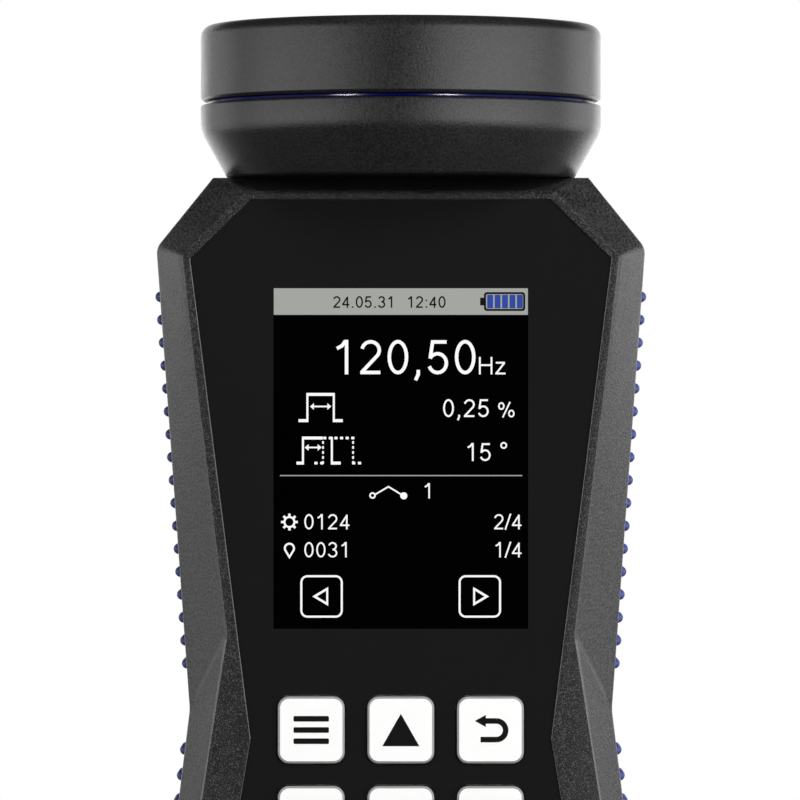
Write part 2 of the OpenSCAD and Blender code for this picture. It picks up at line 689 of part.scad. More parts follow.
// Grip nubs, bonded in rows to the side walls
nub_mid_y = (split_y + tail_y) / 2;
module nub_row(low, high, z, side) {
    x = lerp(low.x, high.x, (z - low.y) / (high.y - low.y));
    tilt = atan2(high.x - low.x, high.y - low.y);
    for (c = [-1:1]) translate([side * x, nub_mid_y + c * nub_col, z]) rotate([0, side * (90 + tilt), 0])
        rotate_extrude() intersection() {
            circle(nub_r);
            square(nub_r + 1);
        }
}
module nubs(side) {
    for (i = [0:nub_rows - 1]) nub_row(out_half[3], out_half[4], body_h - nub_drop - i * nub_pitch, side);
    for (i = [0:nub_low_rows - 1]) nub_row(out_half[2], out_half[3], waist_z - nub_low_drop - i * nub_low_pitch, side);
}
module grip_nubs_left() color(c_blue) nubs(-1);
module grip_nubs_right() color(c_blue) nubs(1);

// Lamp head
function profile(corners, radii) = let (n = len(corners)) [for (i = [0:n - 1])
    each radii[i] > 0 ? corner_arc(corners[(i + n - 1) % n], corners[i], corners[(i + 1) % n], radii[i], 5) : [corners[i]]];
module neck_seal() color(c_black)
    translate([0, 0, head_z]) difference() {
        cylinder(h = 0.8, r = neck_r + 1.6);
        translate([0, 0, -1]) cylinder(h = 3, r = neck_r + 0.4);
    }
module lamp_bowl() color(c_shell)
    difference() {
        union() {
            rotate_extrude() polygon(profile(
                [[0, head_z], [foot_r, head_z], [head_r, head_z + cone_h], [head_r, bowl_top], [collar_r, bowl_top],
                    [collar_r, collar_top], [collar_in, collar_top], [collar_in, bowl_in_top_z], [bowl_in_r, bowl_in_z],
                    [0, bowl_in_z]],
                [0, 1, 3, 1, 0, 0, 0, 0, 0, 0]));
            translate([0, 0, clamp_z - 1]) cylinder(h = head_z - clamp_z + 2, r = neck_r);
            for (s = [-1, 1]) translate([s * neck_screw_x, 0, bowl_in_z - 0.5]) cylinder(h = 3.5, r = 3.4);
            intersection() {
                for (p = head_screw_at) translate([p.x, p.y, bowl_in_z - 0.5]) cylinder(h = sink_z - bowl_in_z + 0.5, r = head_post_r);
                translate([0, 0, head_z]) cylinder(h = bowl_h, r = collar_in + 0.4);
            }
        }
        translate([0, 0, clamp_z - 2]) cylinder(h = bowl_in_z - clamp_z + 4, r = neck_bore_r);
        translate([0, 0, head_z - 1]) difference() {
            cylinder(h = 1.8, r = neck_r + 1.6);
            translate([0, 0, -1]) cylinder(h = 4, r = neck_r + 0.4);
        }
        for (s = [-1, 1]) translate([s * neck_screw_x, 0, head_z - 1]) cylinder(h = bowl_floor + 3.4, r = 1.5);
        for (p = head_screw_at) translate([p.x, p.y, bowl_in_z + 0.8]) cylinder(h = 6, r = 1.25);
    }
module neck_clamp() color(c_metal)
    difference() {
        box(-neck_screw_x - 5, neck_screw_x + 5, split_y + 0.4, -split_y - 0.4, clamp_z, clamp_z + clamp_t);
        translate([0, 0, clamp_z - 1]) cylinder(h = clamp_t + 2, r = neck_r + 0.2);
        for (s = [-1, 1]) translate([s * neck_screw_x, 0, clamp_z - 1]) cylinder(h = clamp_t + 2, r = 1.65);
    }
module neck_screws() color(c_metal)
    for (s = [-1, 1]) translate([s * neck_screw_x, 0, clamp_z]) rotate([180, 0, 0])
        screw(clamp_head_r, clamp_head_h, clamp_screw_r, clamp_t + wall + bowl_floor + 1.8);
module heat_sink() color(c_metal)
    difference() {
        union() {
            translate([0, 0, sink_z]) cylinder(h = sink_t, r = collar_in - 0.8);
            intersection() {
                translate([0, 0, bowl_in_z + 0.5]) cylinder(h = sink_z - bowl_in_z, r = fin_r);
                for (i = [-5:5]) box(i * fin_pitch - fin_t / 2, i * fin_pitch + fin_t / 2, -fin_r - 1, fin_r + 1, bowl_in_z + 0.5, sink_z + 0.5);
            }
        }
        translate([0, 0, bowl_in_z]) cylinder(h = 12, r = neck_bore_r + 1);
        for (s = [-1, 1]) translate([s * neck_screw_x, 0, bowl_in_z]) cylinder(h = 3.5, r = 4);
        for (p = head_screw_at) translate([p.x, p.y, sink_z - 1]) cylinder(h = sink_t + 2, r = 1.4);
    }
module thermal_pad() color("#8c8f92")
    difference() {
        translate([0, 0, pad_z]) cylinder(h = pad_t, r = collar_in - 1.4);
        translate([0, 0, pad_z - 1]) cylinder(h = pad_t + 2, r = neck_bore_r + 1);
        for (p = head_screw_at) translate([p.x, p.y, pad_z - 1]) cylinder(h = pad_t + 2, r = 1.4);
    }
module led_board() color(c_white)
    difference() {
        translate([0, 0, led_board_z]) cylinder(h = led_board_t, r = collar_in - 0.6);
        for (p = head_screw_at) translate([p.x, p.y, led_board_z - 1]) cylinder(h = led_board_t + 2, r = 1.4);
    }
module uv_leds() color("#d8d49a")
    for (p = led_at) translate([p.x, p.y, led_top]) {
        translate([-led_w / 2, -led_w / 2, 0]) cube([led_w, led_w, led_base_t]);
        translate([0, 0, led_base_t]) rotate_extrude() intersection() {
            circle(led_dome_r);
            square(3);
        }
    }
module head_screws() color(c_metal)
    for (p = head_screw_at) translate([p.x, p.y, led_top])
        screw(1.9, 1.6, 1.2, led_top - bowl_in_z - 1.2);
module reflector() color(c_white)
    difference() {
        translate([0, 0, led_top]) cylinder(h = reflector_h, r = collar_in - 0.5);
        for (p = led_at) translate([p.x, p.y, led_top]) cylinder(h = reflector_h, r1 = cup_foot_r, r2 = cup_r);
        for (p = head_screw_at) translate([p.x, p.y, led_top - 1]) cylinder(h = 3.2, r = 2.2);
    }
module accent_ring() color(c_blue)
    rotate_extrude() polygon(profile(
        [[collar_r + slide, bowl_top], [head_r - groove_d, bowl_top], [head_r - groove_d, bezel_z],
            [collar_r + slide, bezel_z]],
        [0, groove_h * 0.3, groove_h * 0.3, 0]));
module front_lens() color(c_white) translate([0, 0, collar_top]) cylinder(h = lens_t, r = collar_r - 0.2);
module lens_gasket() color(c_black)
    translate([0, 0, lens_top]) difference() {
        cylinder(h = lens_seal_t, r = collar_r - 0.2);
        translate([0, 0, -1]) cylinder(h = lens_seal_t + 2, r = lens_open_r + 0.4);
    }
module front_bezel() color(c_shell)
    rotate_extrude() polygon(profile(
        [[collar_r + 0.2, bezel_z], [head_r - 0.6, bezel_z], [head_r, bezel_z + 0.6], [head_r, head_top],
            [lens_open_r + 0.8, head_top], [lens_open_r, head_top - 0.8], [lens_open_r, lip_z],
            [collar_r + 0.2, lip_z]],
        [0, 0, 0, bezel_r, 0, 0, 0, 0]));
module led_lead() color("#9c2b25")
    lead([[0, 0, led_board_z], [0, 0, clamp_z], [0.6, 0.4, clamp_z - 3], [3, 1.8, clamp_z - 7],
        [6.8, driver_back + 1.8, driver_top_z + 1.6], [8, driver_back + 2.5, driver_top_z - 0.8],
        [lamp_plug_x, driver_back + 2.5, driver_top_z - lamp_plug_drop]], led_lead_r);

front_shell();
rear_shell();
case_gasket();
case_screws();
front_panel();
display_window();
display_module();
display_flex();
main_board();
board_connectors();
tact_switches();
key_menu();
key_up();
key_back();
key_left();
key_enter();
key_right();
key_power();
key_down();
key_light();
board_screws();
board_spacers();
driver_board();
flash_capacitors();
boost_inductor();
battery_pack();
battery_pad();
battery_lead();
port_board();
port_screws();
usb_port();
trigger_jack();
tripod_bush();
grip_nubs_left();
grip_nubs_right();
neck_seal();
lamp_bowl();
neck_clamp();
neck_screws();
heat_sink();
thermal_pad();
led_board();
uv_leds();
head_screws();
reflector();
accent_ring();
front_lens();
lens_gasket();
front_bezel();
led_lead();
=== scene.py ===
import json
import math
from functools import partial

import bmesh
import bpy
from mathutils import Matrix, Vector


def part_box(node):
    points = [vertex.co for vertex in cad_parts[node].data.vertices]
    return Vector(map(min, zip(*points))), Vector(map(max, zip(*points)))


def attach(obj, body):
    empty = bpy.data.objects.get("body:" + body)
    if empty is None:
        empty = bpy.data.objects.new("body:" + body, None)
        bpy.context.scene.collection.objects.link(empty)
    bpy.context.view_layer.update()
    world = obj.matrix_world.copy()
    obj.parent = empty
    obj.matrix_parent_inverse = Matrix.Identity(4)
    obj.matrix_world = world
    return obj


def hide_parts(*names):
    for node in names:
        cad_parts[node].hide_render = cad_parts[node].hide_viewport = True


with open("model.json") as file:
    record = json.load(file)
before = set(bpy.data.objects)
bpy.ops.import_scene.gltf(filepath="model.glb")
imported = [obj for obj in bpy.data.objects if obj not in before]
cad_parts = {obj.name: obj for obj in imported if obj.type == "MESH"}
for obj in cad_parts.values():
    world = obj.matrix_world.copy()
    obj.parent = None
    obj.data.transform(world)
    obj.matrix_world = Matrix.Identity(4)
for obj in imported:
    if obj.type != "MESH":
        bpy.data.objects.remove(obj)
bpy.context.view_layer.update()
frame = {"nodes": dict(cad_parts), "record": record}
print("stage: frame loaded")

mm = 0.001  # sizes below are in millimetres, the scene is in metres


# Materials

def linear(hexColour):
    channels = [int(hexColour[i:i + 2], 16) / 255 for i in (1, 3, 5)]
    return (*[c / 12.92 if c <= 0.04045 else ((c + 0.055) / 1.055) ** 2.4 for c in channels], 1.0)


def feed(node, inputs):
    # Sockets are linked, plain values are set
    for name, value in inputs.items():
        if isinstance(value, bpy.types.NodeSocket):
            node.id_data.links.new(value, node.inputs[name])
        else:
            node.inputs[name].default_value = value


def addNode(tree, kind, inputs, **settings):
    # Inputs by socket name or number: a Mix node's colours go in at 6 and 7 and come out at 2
    node = tree.nodes.new(kind)
    for name, value in settings.items():
        setattr(node, name, value)
    feed(node, inputs)
    return node.outputs


def newMaterial(name):
    material = bpy.data.materials.new(name)
    material.use_nodes = True
    tree = material.node_tree
    add = partial(addNode, tree)
    return material, add, tree.nodes["Principled BSDF"], add("ShaderNodeTexCoord", {})["Object"]


finishes = {}  # what each material slot of the record is finished with


def grained(name, dark, light, grain, rough, cloud=4.0, clouding=0.3, flecks=(0.2, 0.8), bump=0.06,
            metal=0.0, specular=0.5, details=(3.0, 2.0), cloudSpan=(0.3, 0.7), depth=0.3):
    # Flecks of two colours, clouds of roughness and a raised grain, with widths in millimetres;
    # the depth of a grain is a share of its width
    material, add, shader, place = newMaterial(name)
    grains, clouds = [
        add("ShaderNodeTexNoise", {"Vector": place, "Scale": 1 / (width * mm), "Detail": detail})[0]
        for width, detail in zip((grain, cloud), details)]
    clouded = add("ShaderNodeMath", {0: clouds, 1: clouding, 2: grains}, operation="MULTIPLY_ADD")[0]
    share = add("ShaderNodeMapRange", {
        "Value": clouded, "From Min": flecks[0] + clouding / 2, "From Max": flecks[1] + clouding / 2})[0]
    colour = add("ShaderNodeMix", {0: share, 6: linear(dark), 7: linear(light)}, data_type="RGBA")[2]
    roughness = add("ShaderNodeMapRange", {
        "Value": clouds, "From Min": cloudSpan[0], "From Max": cloudSpan[1],
        "To Min": rough[0], "To Max": rough[1]})[0]
    raised = add("ShaderNodeBump", {"Height": grains, "Strength": bump, "Distance": depth * grain * mm})[0]
    feed(shader, {"Base Color": colour, "Roughness": roughness, "Normal": raised, "Metallic": metal,
                  "Specular IOR Level": specular})
    return material


# Moulded ABS casing: charcoal with a soft sheen and a 0.15 mm grain, drawn three times as wide to show
finishes["casing_plastic"] = grained(
    "mouldedCasingPlastic", "#0f0f10", "#3b3b3c", grain=0.45, cloud=6.0, clouding=0.15,
    flecks=(0.36, 0.64), rough=(0.36, 0.44), bump=0.7, specular=0.72)
# The same ABS where the tool is spark-eroded: dark and rough, with pale flecks painted as glints on its
# peaks
erodedPlasticAndGlints = grained(
    "sparkErodedPlasticPaintedGlints", "#0d0d0e", "#565657", grain=0.22, cloud=6.0, clouding=0.1,
    flecks=(0.5, 0.74), rough=(0.44, 0.52), bump=0.9, specular=0.42)
# The same ABS with painted highlights: a thin paler line on sharp edges, a faint one along the waist's
# crease
paintedHighlightLook = {"grain": 0.35, "cloud": 6.0, "flecks": (0.3, 0.7), "rough": (0.3, 0.4), "bump": 0.3,
             "specular": 0.6}
edgeHighlightPlastic = grained("paintedEdgeHighlight", "#444546", "#646566", **paintedHighlightLook)
creaseHighlightPlastic = grained("paintedCreaseHighlight", "#353536", "#575758", **paintedHighlightLook)
# Turned and bead-blasted head rings: the same charcoal, its 0.1 mm grain also drawn wider to show
headPlastic = grained(
    "blastedHeadPlastic", "#161617", "#2a2a2b", grain=0.36, cloud=9.0, clouding=0.1,
    flecks=(0.36, 0.64), rough=(0.27, 0.33), bump=0.4)
# Printed and matt-coated polyester panel film: nearly black, very even, with little reflection
finishes["panel_film"] = grained(
    "printedPanelFilm", "#121213", "#151516", grain=0.1, cloud=12.0, rough=(0.5, 0.58), bump=0.05,
    specular=0.08)
# Tinted acrylic window over the unlit display: black and glossy
finishes["window_plastic"] = grained(
    "tintedWindowAcrylic", "#000000", "#020203", grain=0.18, cloud=15.0, flecks=(0.1, 0.9),
    rough=(0.06, 0.1), bump=0.0, specular=0.03)
# Moulded white silicone keys: clean and slightly satin
finishes["key_plastic"] = grained(
    "mouldedKeySilicone", "#f4f4f3", "#fafaf9", grain=0.15, rough=(0.4, 0.48), bump=0.04, specular=0.3)
# The keys' bevelled edge: the same white silicone, painted grey as the shade on the bevel
keyEdgeShade = grained(
    "paintedKeyEdgeShade", "#8f8f8f", "#9e9e9e", grain=0.2, cloud=3.0, rough=(0.45, 0.55), specular=0.2)
# Screen-printed key ink: flat black
keyInk = grained(
    "printedKeyInk", "#0c0c0d", "#131314", grain=0.08, cloud=2.0, rough=(0.5, 0.6), specular=0.1)
# Moulded grip rubber: dusty blue with soft highlights
finishes["grip_rubber"] = grained(
    "mouldedGripRubber", "#3f4884", "#4b5595", grain=0.1, cloud=3.0, clouding=0.5, rough=(0.4, 0.5),
    bump=0.12, specular=0.4)
# Dyed and polished accent ring: deep blue in its groove, with sharp glints
finishes["accent_rubber"] = grained(
    "dyedAccentRubber", "#05073f", "#0a0c52", grain=0.3, cloud=8.0, clouding=0.4, rough=(0.14, 0.18),
    bump=0.02, specular=0.06)
# Moulded seal rubber: dull black
finishes["seal_rubber"] = grained(
    "mouldedSealRubber", "#141415", "#1d1d1e", grain=0.2, rough=(0.65, 0.8), bump=0.2, specular=0.3)
# Metallised reflector moulding: bright and slightly orange-peeled
finishes["reflector_plastic"] = grained(
    "metallisedReflector", "#d8dadc", "#e8eaec", grain=0.6, cloud=8.0, rough=(0.1, 0.18), bump=0.04,
    metal=1.0)
# Cast emitter resin: pale yellow
finishes["emitter_plastic"] = grained(
    "castEmitterResin", "#c9c48a", "#dcd8a6", grain=0.2, cloud=1.5, rough=(0.12, 0.2), bump=0.03)
# Masked circuit laminate: green with copper shadows under the mask
finishes["board_laminate"] = grained(
    "maskedBoardLaminate", "#124a2e", "#1d6a43", grain=0.5, cloud=5.0, clouding=0.8, rough=(0.3, 0.42))
# White-masked aluminium board: bright and even
finishes["board_aluminium"] = grained(
    "maskedAluminiumBoard", "#d9dcdd", "#e9ebec", grain=0.3, cloud=5.0, rough=(0.35, 0.45))
# Milled aluminium: pale grey metal with fine tool haze
finishes["bare_aluminium"] = grained(
    "milledAluminium", "#a7aaad", "#bfc2c5", grain=0.25, cloud=3.0, rough=(0.3, 0.42), bump=0.1,
    metal=1.0)
# Shrink film round the cell: blue and faintly wrinkled
finishes["battery_wrap"] = grained(
    "shrunkBatteryFilm", "#2f5390", "#40679f", grain=1.2, cloud=9.0, clouding=0.5, rough=(0.25, 0.35),
    bump=0.1)
# Pressed ferrite: dark grey and granular
finishes["ferrite"] = grained(
    "pressedFerrite", "#232427", "#393a3d", grain=0.15, cloud=2.0, rough=(0.55, 0.7), bump=0.3)
# Zinc-plated steel: cool grey metal
finishes["steel"] = grained(
    "zincPlatedSteel", "#8d9196", "#a6aaae", grain=0.12, cloud=1.6, clouding=0.5, rough=(0.26, 0.38),
    metal=1.0)
# Turned brass: warm metal with fine tool haze
finishes["brass"] = grained(
    "turnedBrass", "#b08a3e", "#c9a553", grain=0.15, cloud=2.0, clouding=0.5, rough=(0.22, 0.34),
    metal=1.0)
# Moulded black socket plastic: dull and fine grained
finishes["black_plastic"] = grained(
    "mouldedBlackPlastic", "#141516", "#1e1f20", grain=0.15, rough=(0.4, 0.5), bump=0.12, specular=0.4)
# Moulded connector plastic: ivory white
finishes["white_plastic"] = grained(
    "mouldedConnectorPlastic", "#dcd9cf", "#e9e6dd", grain=0.2, rough=(0.4, 0.5))
# Laminated flex film: amber
finishes["flex_film"] = grained(
    "laminatedFlexFilm", "#8f5a1c", "#ad7128", grain=0.3, cloud=2.0, clouding=0.5, rough=(0.25, 0.35))
# Extruded lead insulation: red and waxy
finishes["lead_rubber"] = grained(
    "extrudedLeadInsulation", "#86221d", "#a32e27", grain=0.3, rough=(0.4, 0.5))


def lensMaterial(name, dark, light, wave, haze, ior):
    # Clear glass with slow waves of tint and polish, as wide in millimetres as given
    material, add, shader, place = newMaterial(name)
    waves = add("ShaderNodeTexNoise", {"Vector": place, "Scale": 1 / (wave * mm)})[0]
    tint = add("ShaderNodeMix", {0: waves, 6: linear(dark), 7: linear(light)}, data_type="RGBA")[2]
    rough = add("ShaderNodeMapRange", {"Value": waves, "To Max": haze})[0]
    feed(shader, {"Base Color": tint, "Roughness": rough, "Transmission Weight": 1.0, "IOR": ior})
    return material


def litMaterial(name, joint, cell, pitch=0.18, edge=(0.38, 0.5), unlit="#0a0a0a", rough=0.4, specular=0.1):
    # Backlit display cells a pitch apart, with slightly dimmer joints
    material, add, shader, place = newMaterial(name)
    way = add("ShaderNodeTexVoronoi", {
        "Vector": place, "Scale": 1 / (pitch * mm), "Randomness": 0.0},
        feature="F1", distance="CHEBYCHEV")["Distance"]
    share = add("ShaderNodeMapRange", {"Value": way, "From Min": edge[0], "From Max": edge[1]})[0]
    colour = add("ShaderNodeMix", {0: share, 6: linear(cell), 7: linear(joint)}, data_type="RGBA")[2]
    feed(shader, {"Emission Color": colour, "Emission Strength": 1.0, "Base Color": linear(unlit),
                  "Roughness": rough, "Specular IOR Level": specular})
    return material


# Ground lens glass: clear and faintly green
finishes["lens_glass"] = lensMaterial(
    "groundLensGlass", "#eef6f3", "#f7fcfa", wave=7.0, haze=0.04, ior=1.49)
litWhite = litMaterial("litDisplayWhite", "#f0f0f0", "#ffffff")
litGrey = litMaterial("litDisplayGrey", "#9b9d98", "#a5a7a2")
litBlue = litMaterial("litDisplayBlue", "#2a4192", "#30499f")
litBlack = litMaterial("unlitDisplayBlack", "#040404", "#080808")

for part in frame["record"]["subparts"]:
    node = frame["nodes"][part["node"]]
    node.data.materials.clear()
    node.data.materials.append(finishes[part["material_slot"]])
print("stage: materials")


# Modelling helpers

mergeGap = 0.0002  # points of a mesh closer than this become one
samePoint = 1e-6  # points of an outline closer than this are the same
straight = 1e-4  # a corner this close to a straight line, in radians, isn't rounded
mostWay = 0.45  # the most of a face that a soft edge may take
sharpest = 0.5  # keeps the mitre of a very sharp corner short
rodSides = 40


def pick(*pieces):
    if bpy.context.object and bpy.context.object.mode != "OBJECT":
        bpy.ops.object.mode_set(mode="OBJECT")
    bpy.ops.object.select_all(action="DESELECT")
    for piece in pieces:
        piece.select_set(True)
    if pieces:
        bpy.context.view_layer.objects.active = pieces[0]


def startRing(name, points):
    # A circle pulled on to the first outline and left open for editing
    pick()
    bpy.ops.mesh.primitive_circle_add(vertices=len(points), radius=mm)
    piece = bpy.context.object
    piece.name = name
    bpy.ops.object.mode_set(mode="EDIT")
    placeVerts(piece, range(len(points)), points)
    return piece


def editMesh(piece):
    mesh = bmesh.from_edit_mesh(piece.data)
    mesh.verts.index_update()
    mesh.verts.ensure_lookup_table()
    return mesh, mesh.verts


def selectVerts(piece, wanted):
    bpy.ops.mesh.select_mode(type="VERT")
    bpy.ops.mesh.select_all(action="DESELECT")
    mesh, verts = editMesh(piece)
    for i in wanted:
        verts[i].select_set(True)
    mesh.select_flush_mode()
    bmesh.update_edit_mesh(piece.data)


def placeVerts(piece, order, points):
    mesh, verts = editMesh(piece)
    for i, point in zip(order, points):
        verts[i].co = [c * mm for c in point]
    bmesh.update_edit_mesh(piece.data)


def closeUp():
    # Doubles merged, loose ends dropped and all faces turned outwards
    bpy.ops.mesh.select_all(action="SELECT")
    bpy.ops.mesh.remove_doubles(threshold=mergeGap * mm)
    bpy.ops.mesh.delete_loose()
    bpy.ops.mesh.select_all(action="SELECT")
    bpy.ops.mesh.normals_make_consistent(inside=False)
    bpy.ops.object.mode_set(mode="OBJECT")


def skin(name, loops, ring=False):
    # The first loop is extruded from loop to loop; a ring closes on itself and the rest is capped
    piece = startRing(name, loops[0])
    order = list(range(len(loops[0])))
    for points in loops[1:] + ([loops[0]] if ring else []):
        bpy.ops.mesh.extrude_edges_indiv()
        mesh, verts = editMesh(piece)
        partners = [[edge.other_vert(verts[i]) for edge in verts[i].link_edges] for i in order]
        order = [next(vert.index for vert in row if vert.select) for row in partners]
        placeVerts(piece, order, points)
    if not ring:
        for wanted in (order, range(len(loops[0]))):
            selectVerts(piece, wanted)
            bpy.ops.mesh.edge_face_add()
    closeUp()
    return piece


def turned(name, profile, steps, axis="Z", height=0.0):
    # A closed profile of radius and way along the axis, spun once round; a Y axis lies at a height
    upright = axis == "Z"
    piece = startRing(name, [(r, 0, h) if upright else (r, h, height) for r, h in profile])
    bpy.ops.mesh.select_all(action="SELECT")
    bpy.ops.mesh.spin(
        steps=steps, angle=2 * math.pi, center=(0, 0, height * mm), axis=(0, 0, 1) if upright else (0, 1, 0))
    closeUp()
    return piece


def joined(name, parts):
    pick(*parts)
    if len(parts) > 1:
        bpy.ops.object.join()
    piece = bpy.context.object
    piece.name = name
    return piece


def rods(name, places, r, start, end, axis="Y"):
    # Round rods side by side as one mesh, for posts and bores
    parts = []
    middle = (start + end) / 2
    for u, v in places:
        spot = (u, middle, v) if axis == "Y" else (u, v, middle)
        pick()
        bpy.ops.mesh.primitive_cylinder_add(
            vertices=rodSides, radius=r * mm, depth=(end - start) * mm, location=[c * mm for c in spot],
            rotation=(math.pi / 2 if axis == "Y" else 0, 0, 0))
        parts.append(bpy.context.object)
    return joined(name, parts)


def carve(piece, tool, kind="DIFFERENCE"):
    pick(piece)
    bpy.ops.object.modifier_add(type="BOOLEAN")
    cut = piece.modifiers[-1]
    cut.operation = kind
    cut.solver = "EXACT"
    cut.object = tool
    bpy.ops.object.modifier_apply(modifier=cut.name)
    bpy.data.objects.remove(tool)


def shift(x, y, z):
    return Matrix.Translation((x * mm, y * mm, z * mm))


def copyOf(piece, matrix):
    twin = piece.copy()
    twin.data = piece.data.copy()
    bpy.context.scene.collection.objects.link(twin)
    twin.data.transform(matrix)
    return twin


def dress(piece, slot, nodes=(), material=None, body="casing", angle=32):
    # The finish is the slot's own unless another is given
    pick(piece)
    bpy.ops.object.shade_smooth_by_angle(angle=math.radians(angle))
    piece.data.materials.clear()
    piece.data.materials.append(material or finishes[slot])
    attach(piece, body)
    if nodes:
        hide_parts(*nodes)
    return piece


def refinish(piece, material, wanted):
    # A second finish on the faces chosen by place in millimetres and by direction
    piece.data.materials.append(material)
    for face in piece.data.polygons:
        if wanted(face.center / mm, face.normal):
            face.material_index = len(piece.data.materials) - 1


def boxOf(node):
    low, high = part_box(node)
    return [c / mm for c in low], [c / mm for c in high]


def middleOf(node):
    return [(a + b) / 2 for a, b in zip(*boxOf(node))]


def asPairs(points):
    return [(p.real, p.imag) for p in points]


def cornerArc(a, b, c, r, steps):
    # Points round the corner b between its neighbours a and c
    a, b, c = [complex(*p) for p in (a, b, c)]
    u, v = (a - b) / abs(a - b), (c - b) / abs(c - b)
    half = math.acos(max(-1, min(1, (u * v.conjugate()).real))) / 2
    if half > math.pi / 2 - straight:
        return asPairs([b] * (steps + 1))
    middle = b + (u + v) / abs(u + v) * r / math.sin(half)
    start, end = [(b + way * r / math.tan(half) - middle) / r for way in (u, v)]
    w = math.pi - 2 * half
    turns = [w * k / steps for k in range(steps + 1)]
    return asPairs([middle + r * (start * math.sin(w - t) + end * math.sin(t)) / math.sin(w) for t in turns])


def rounded(corners, radii, steps=6):
    out = []
    for i, corner in enumerate(corners):
        after = corners[(i + 1) % len(corners)]
        out += cornerArc(corners[i - 1], corner, after, radii[i], steps) if radii[i] > 0 else [corner]
    return out


def roundSquare(w, h, r, steps=6):
    x, z = w / 2, h / 2
    return rounded([(x, -z), (x, z), (-x, z), (-x, -z)], [r] * 4, steps)


def bothSides(half):
    return list(half) + [(-x, z) for x, z in reversed(half)]


def moved(points, x, z):
    return [(px + x, pz + z) for px, pz in points]


def mitre(before, point, after):
    # The way of a corner to the left of its line, for sides that move by one
    a, b = [1j * step / abs(step) for step in (point - before, after - point)]
    return (a + b) / max(1 + (a * b.conjugate()).real, sharpest)


def inset(corners, d):
    points = [complex(*p) for p in corners]
    neighbours = zip(points[-1:] + points[:-1], points, points[1:] + points[:1])
    return asPairs([three[1] + mitre(*three) * d for three in neighbours])


def at(outline, y):
    return [(x, y, z) for x, z in outline]


def flat(outline, z):
    return [(x, y, z) for x, y in outline]


def mix(a, b, t):
    return [tuple(p + (q - p) * t for p, q in zip(u, v)) for u, v in zip(a, b)]


def ringOf(corners, radii, arcSteps=5, cuts=7):
    # The same count of points on every outline, so that loops can be extruded one to the next
    n = len(corners)
    arcs = [cornerArc(corners[i - 1], corners[i], corners[(i + 1) % n], radii[i], arcSteps)
            for i in range(n)]
    out = []
    for arc, following in zip(arcs, arcs[1:] + arcs[:1]):
        out += arc
        for k in range(1, cuts):
            out += mix(arc[-1:], following[:1], k / cuts)
    return out


def softEdge(start, corner, end, steps=4):
    # Loops along a rounded edge from one face to the next
    shares = [k / steps for k in range(steps + 1)]
    return [mix(mix(start, corner, t), mix(corner, end, t), t) for t in shares]


def towards(corner, other, reach):
    # Each point of a loop moved a set way towards its partner on another loop, but not half way
    out = []
    for p, q, d in zip(corner, other, reach):
        gap = math.dist(p, q)
        out += mix([p], [q], min(d / gap, mostWay) if gap > samePoint else 0)
    return out


def domeLine(r, cuts, z=0.0):
    # From the middle of a dome's foot to its rim and up to its top
    angles = [math.pi / 2 * k / cuts for k in range(cuts)]
    return [(0, z)] + [(r * math.cos(a), z + r * math.sin(a)) for a in angles] + [(0, z + r)]


# Casing shells: half outlines from the base up, at the rim, at the joint line and at the panel's edge

casing = {
    "frontY": -16.0, "edgeY": -7.0, "splitY": -5.0, "tailY": 7.0, "rearY": 16.0,
    "panelFloorY": -15.1, "caveY": -13.1, "rearIn": 13.8, "wall": 2.2, "cavityRadius": 0.6,
    "out": [(31.5, 0), (40, 12.5), (40.8, 36), (36.1, 74.1), (41.8, 153), (32.1, 165)],
    "outRadii": [2, 3, 10, 8, 3, 0.4],
    "rim": [(29, 0), (35.8, 14), (37, 40), (29.5, 87.5), (37.3, 151.5), (26, 162.5)],
    "rimRadii": [0.8, 0.8, 0.8, 4.5, 0.8, 0.8], "rimWidth": 1.5, "rearInset": 4.0,
    "panel": [(25.5, 22.04), (30.1, 27.54), (31.1, 35.74), (25.46, 69.5)], "panelRadius": 0.35,
    "joint": 0.2, "edgeSoft": 0.9, "edgeCrisp": 0.75, "crispBelow": 86, "sideSoft": 0.6, "recessSoft": 0.14,
    "bevelCuts": 7, "wallStep": 1.0, "lowSink": 0.8,
    # Faces with a second finish: by slack in depth, by direction, and along the crease by share of the bevel
    "slack": 0.01, "facing": 0.93, "edgeFacing": (0.5, 0.9), "edgeLean": 0.5, "edgeDeep": 0.3,
    "crease": (0.05, 0.78), "creaseReach": 1.0}
hip, waist, shoulder, crown = range(2, 6)  # their places in the half outlines

outCorners = bothSides(casing["out"])
rimCorners = bothSides(casing["rim"])
rimInset = inset(rimCorners, casing["rimWidth"])
panelCorners = bothSides(casing["panel"] + [rimInset[shoulder], rimInset[crown]])
outRadii = casing["outRadii"] + casing["outRadii"][::-1]
rimRadii = casing["rimRadii"] + casing["rimRadii"][::-1]
panelRadii = [casing["panelRadius"]] * len(panelCorners)
outRing = ringOf(outCorners, outRadii)
rimRing = ringOf(rimCorners, rimRadii)
panelRing = ringOf(panelCorners, panelRadii)
jointRing = ringOf(inset(outCorners, casing["joint"]), outRadii)


def cavityRing(t):
    # The hollow's outline, a wall's thickness inside the outside at that depth
    corners = mix(rimCorners, outCorners, t)
    return ringOf(inset(corners, casing["wall"]), [casing["cavityRadius"]] * len(corners))


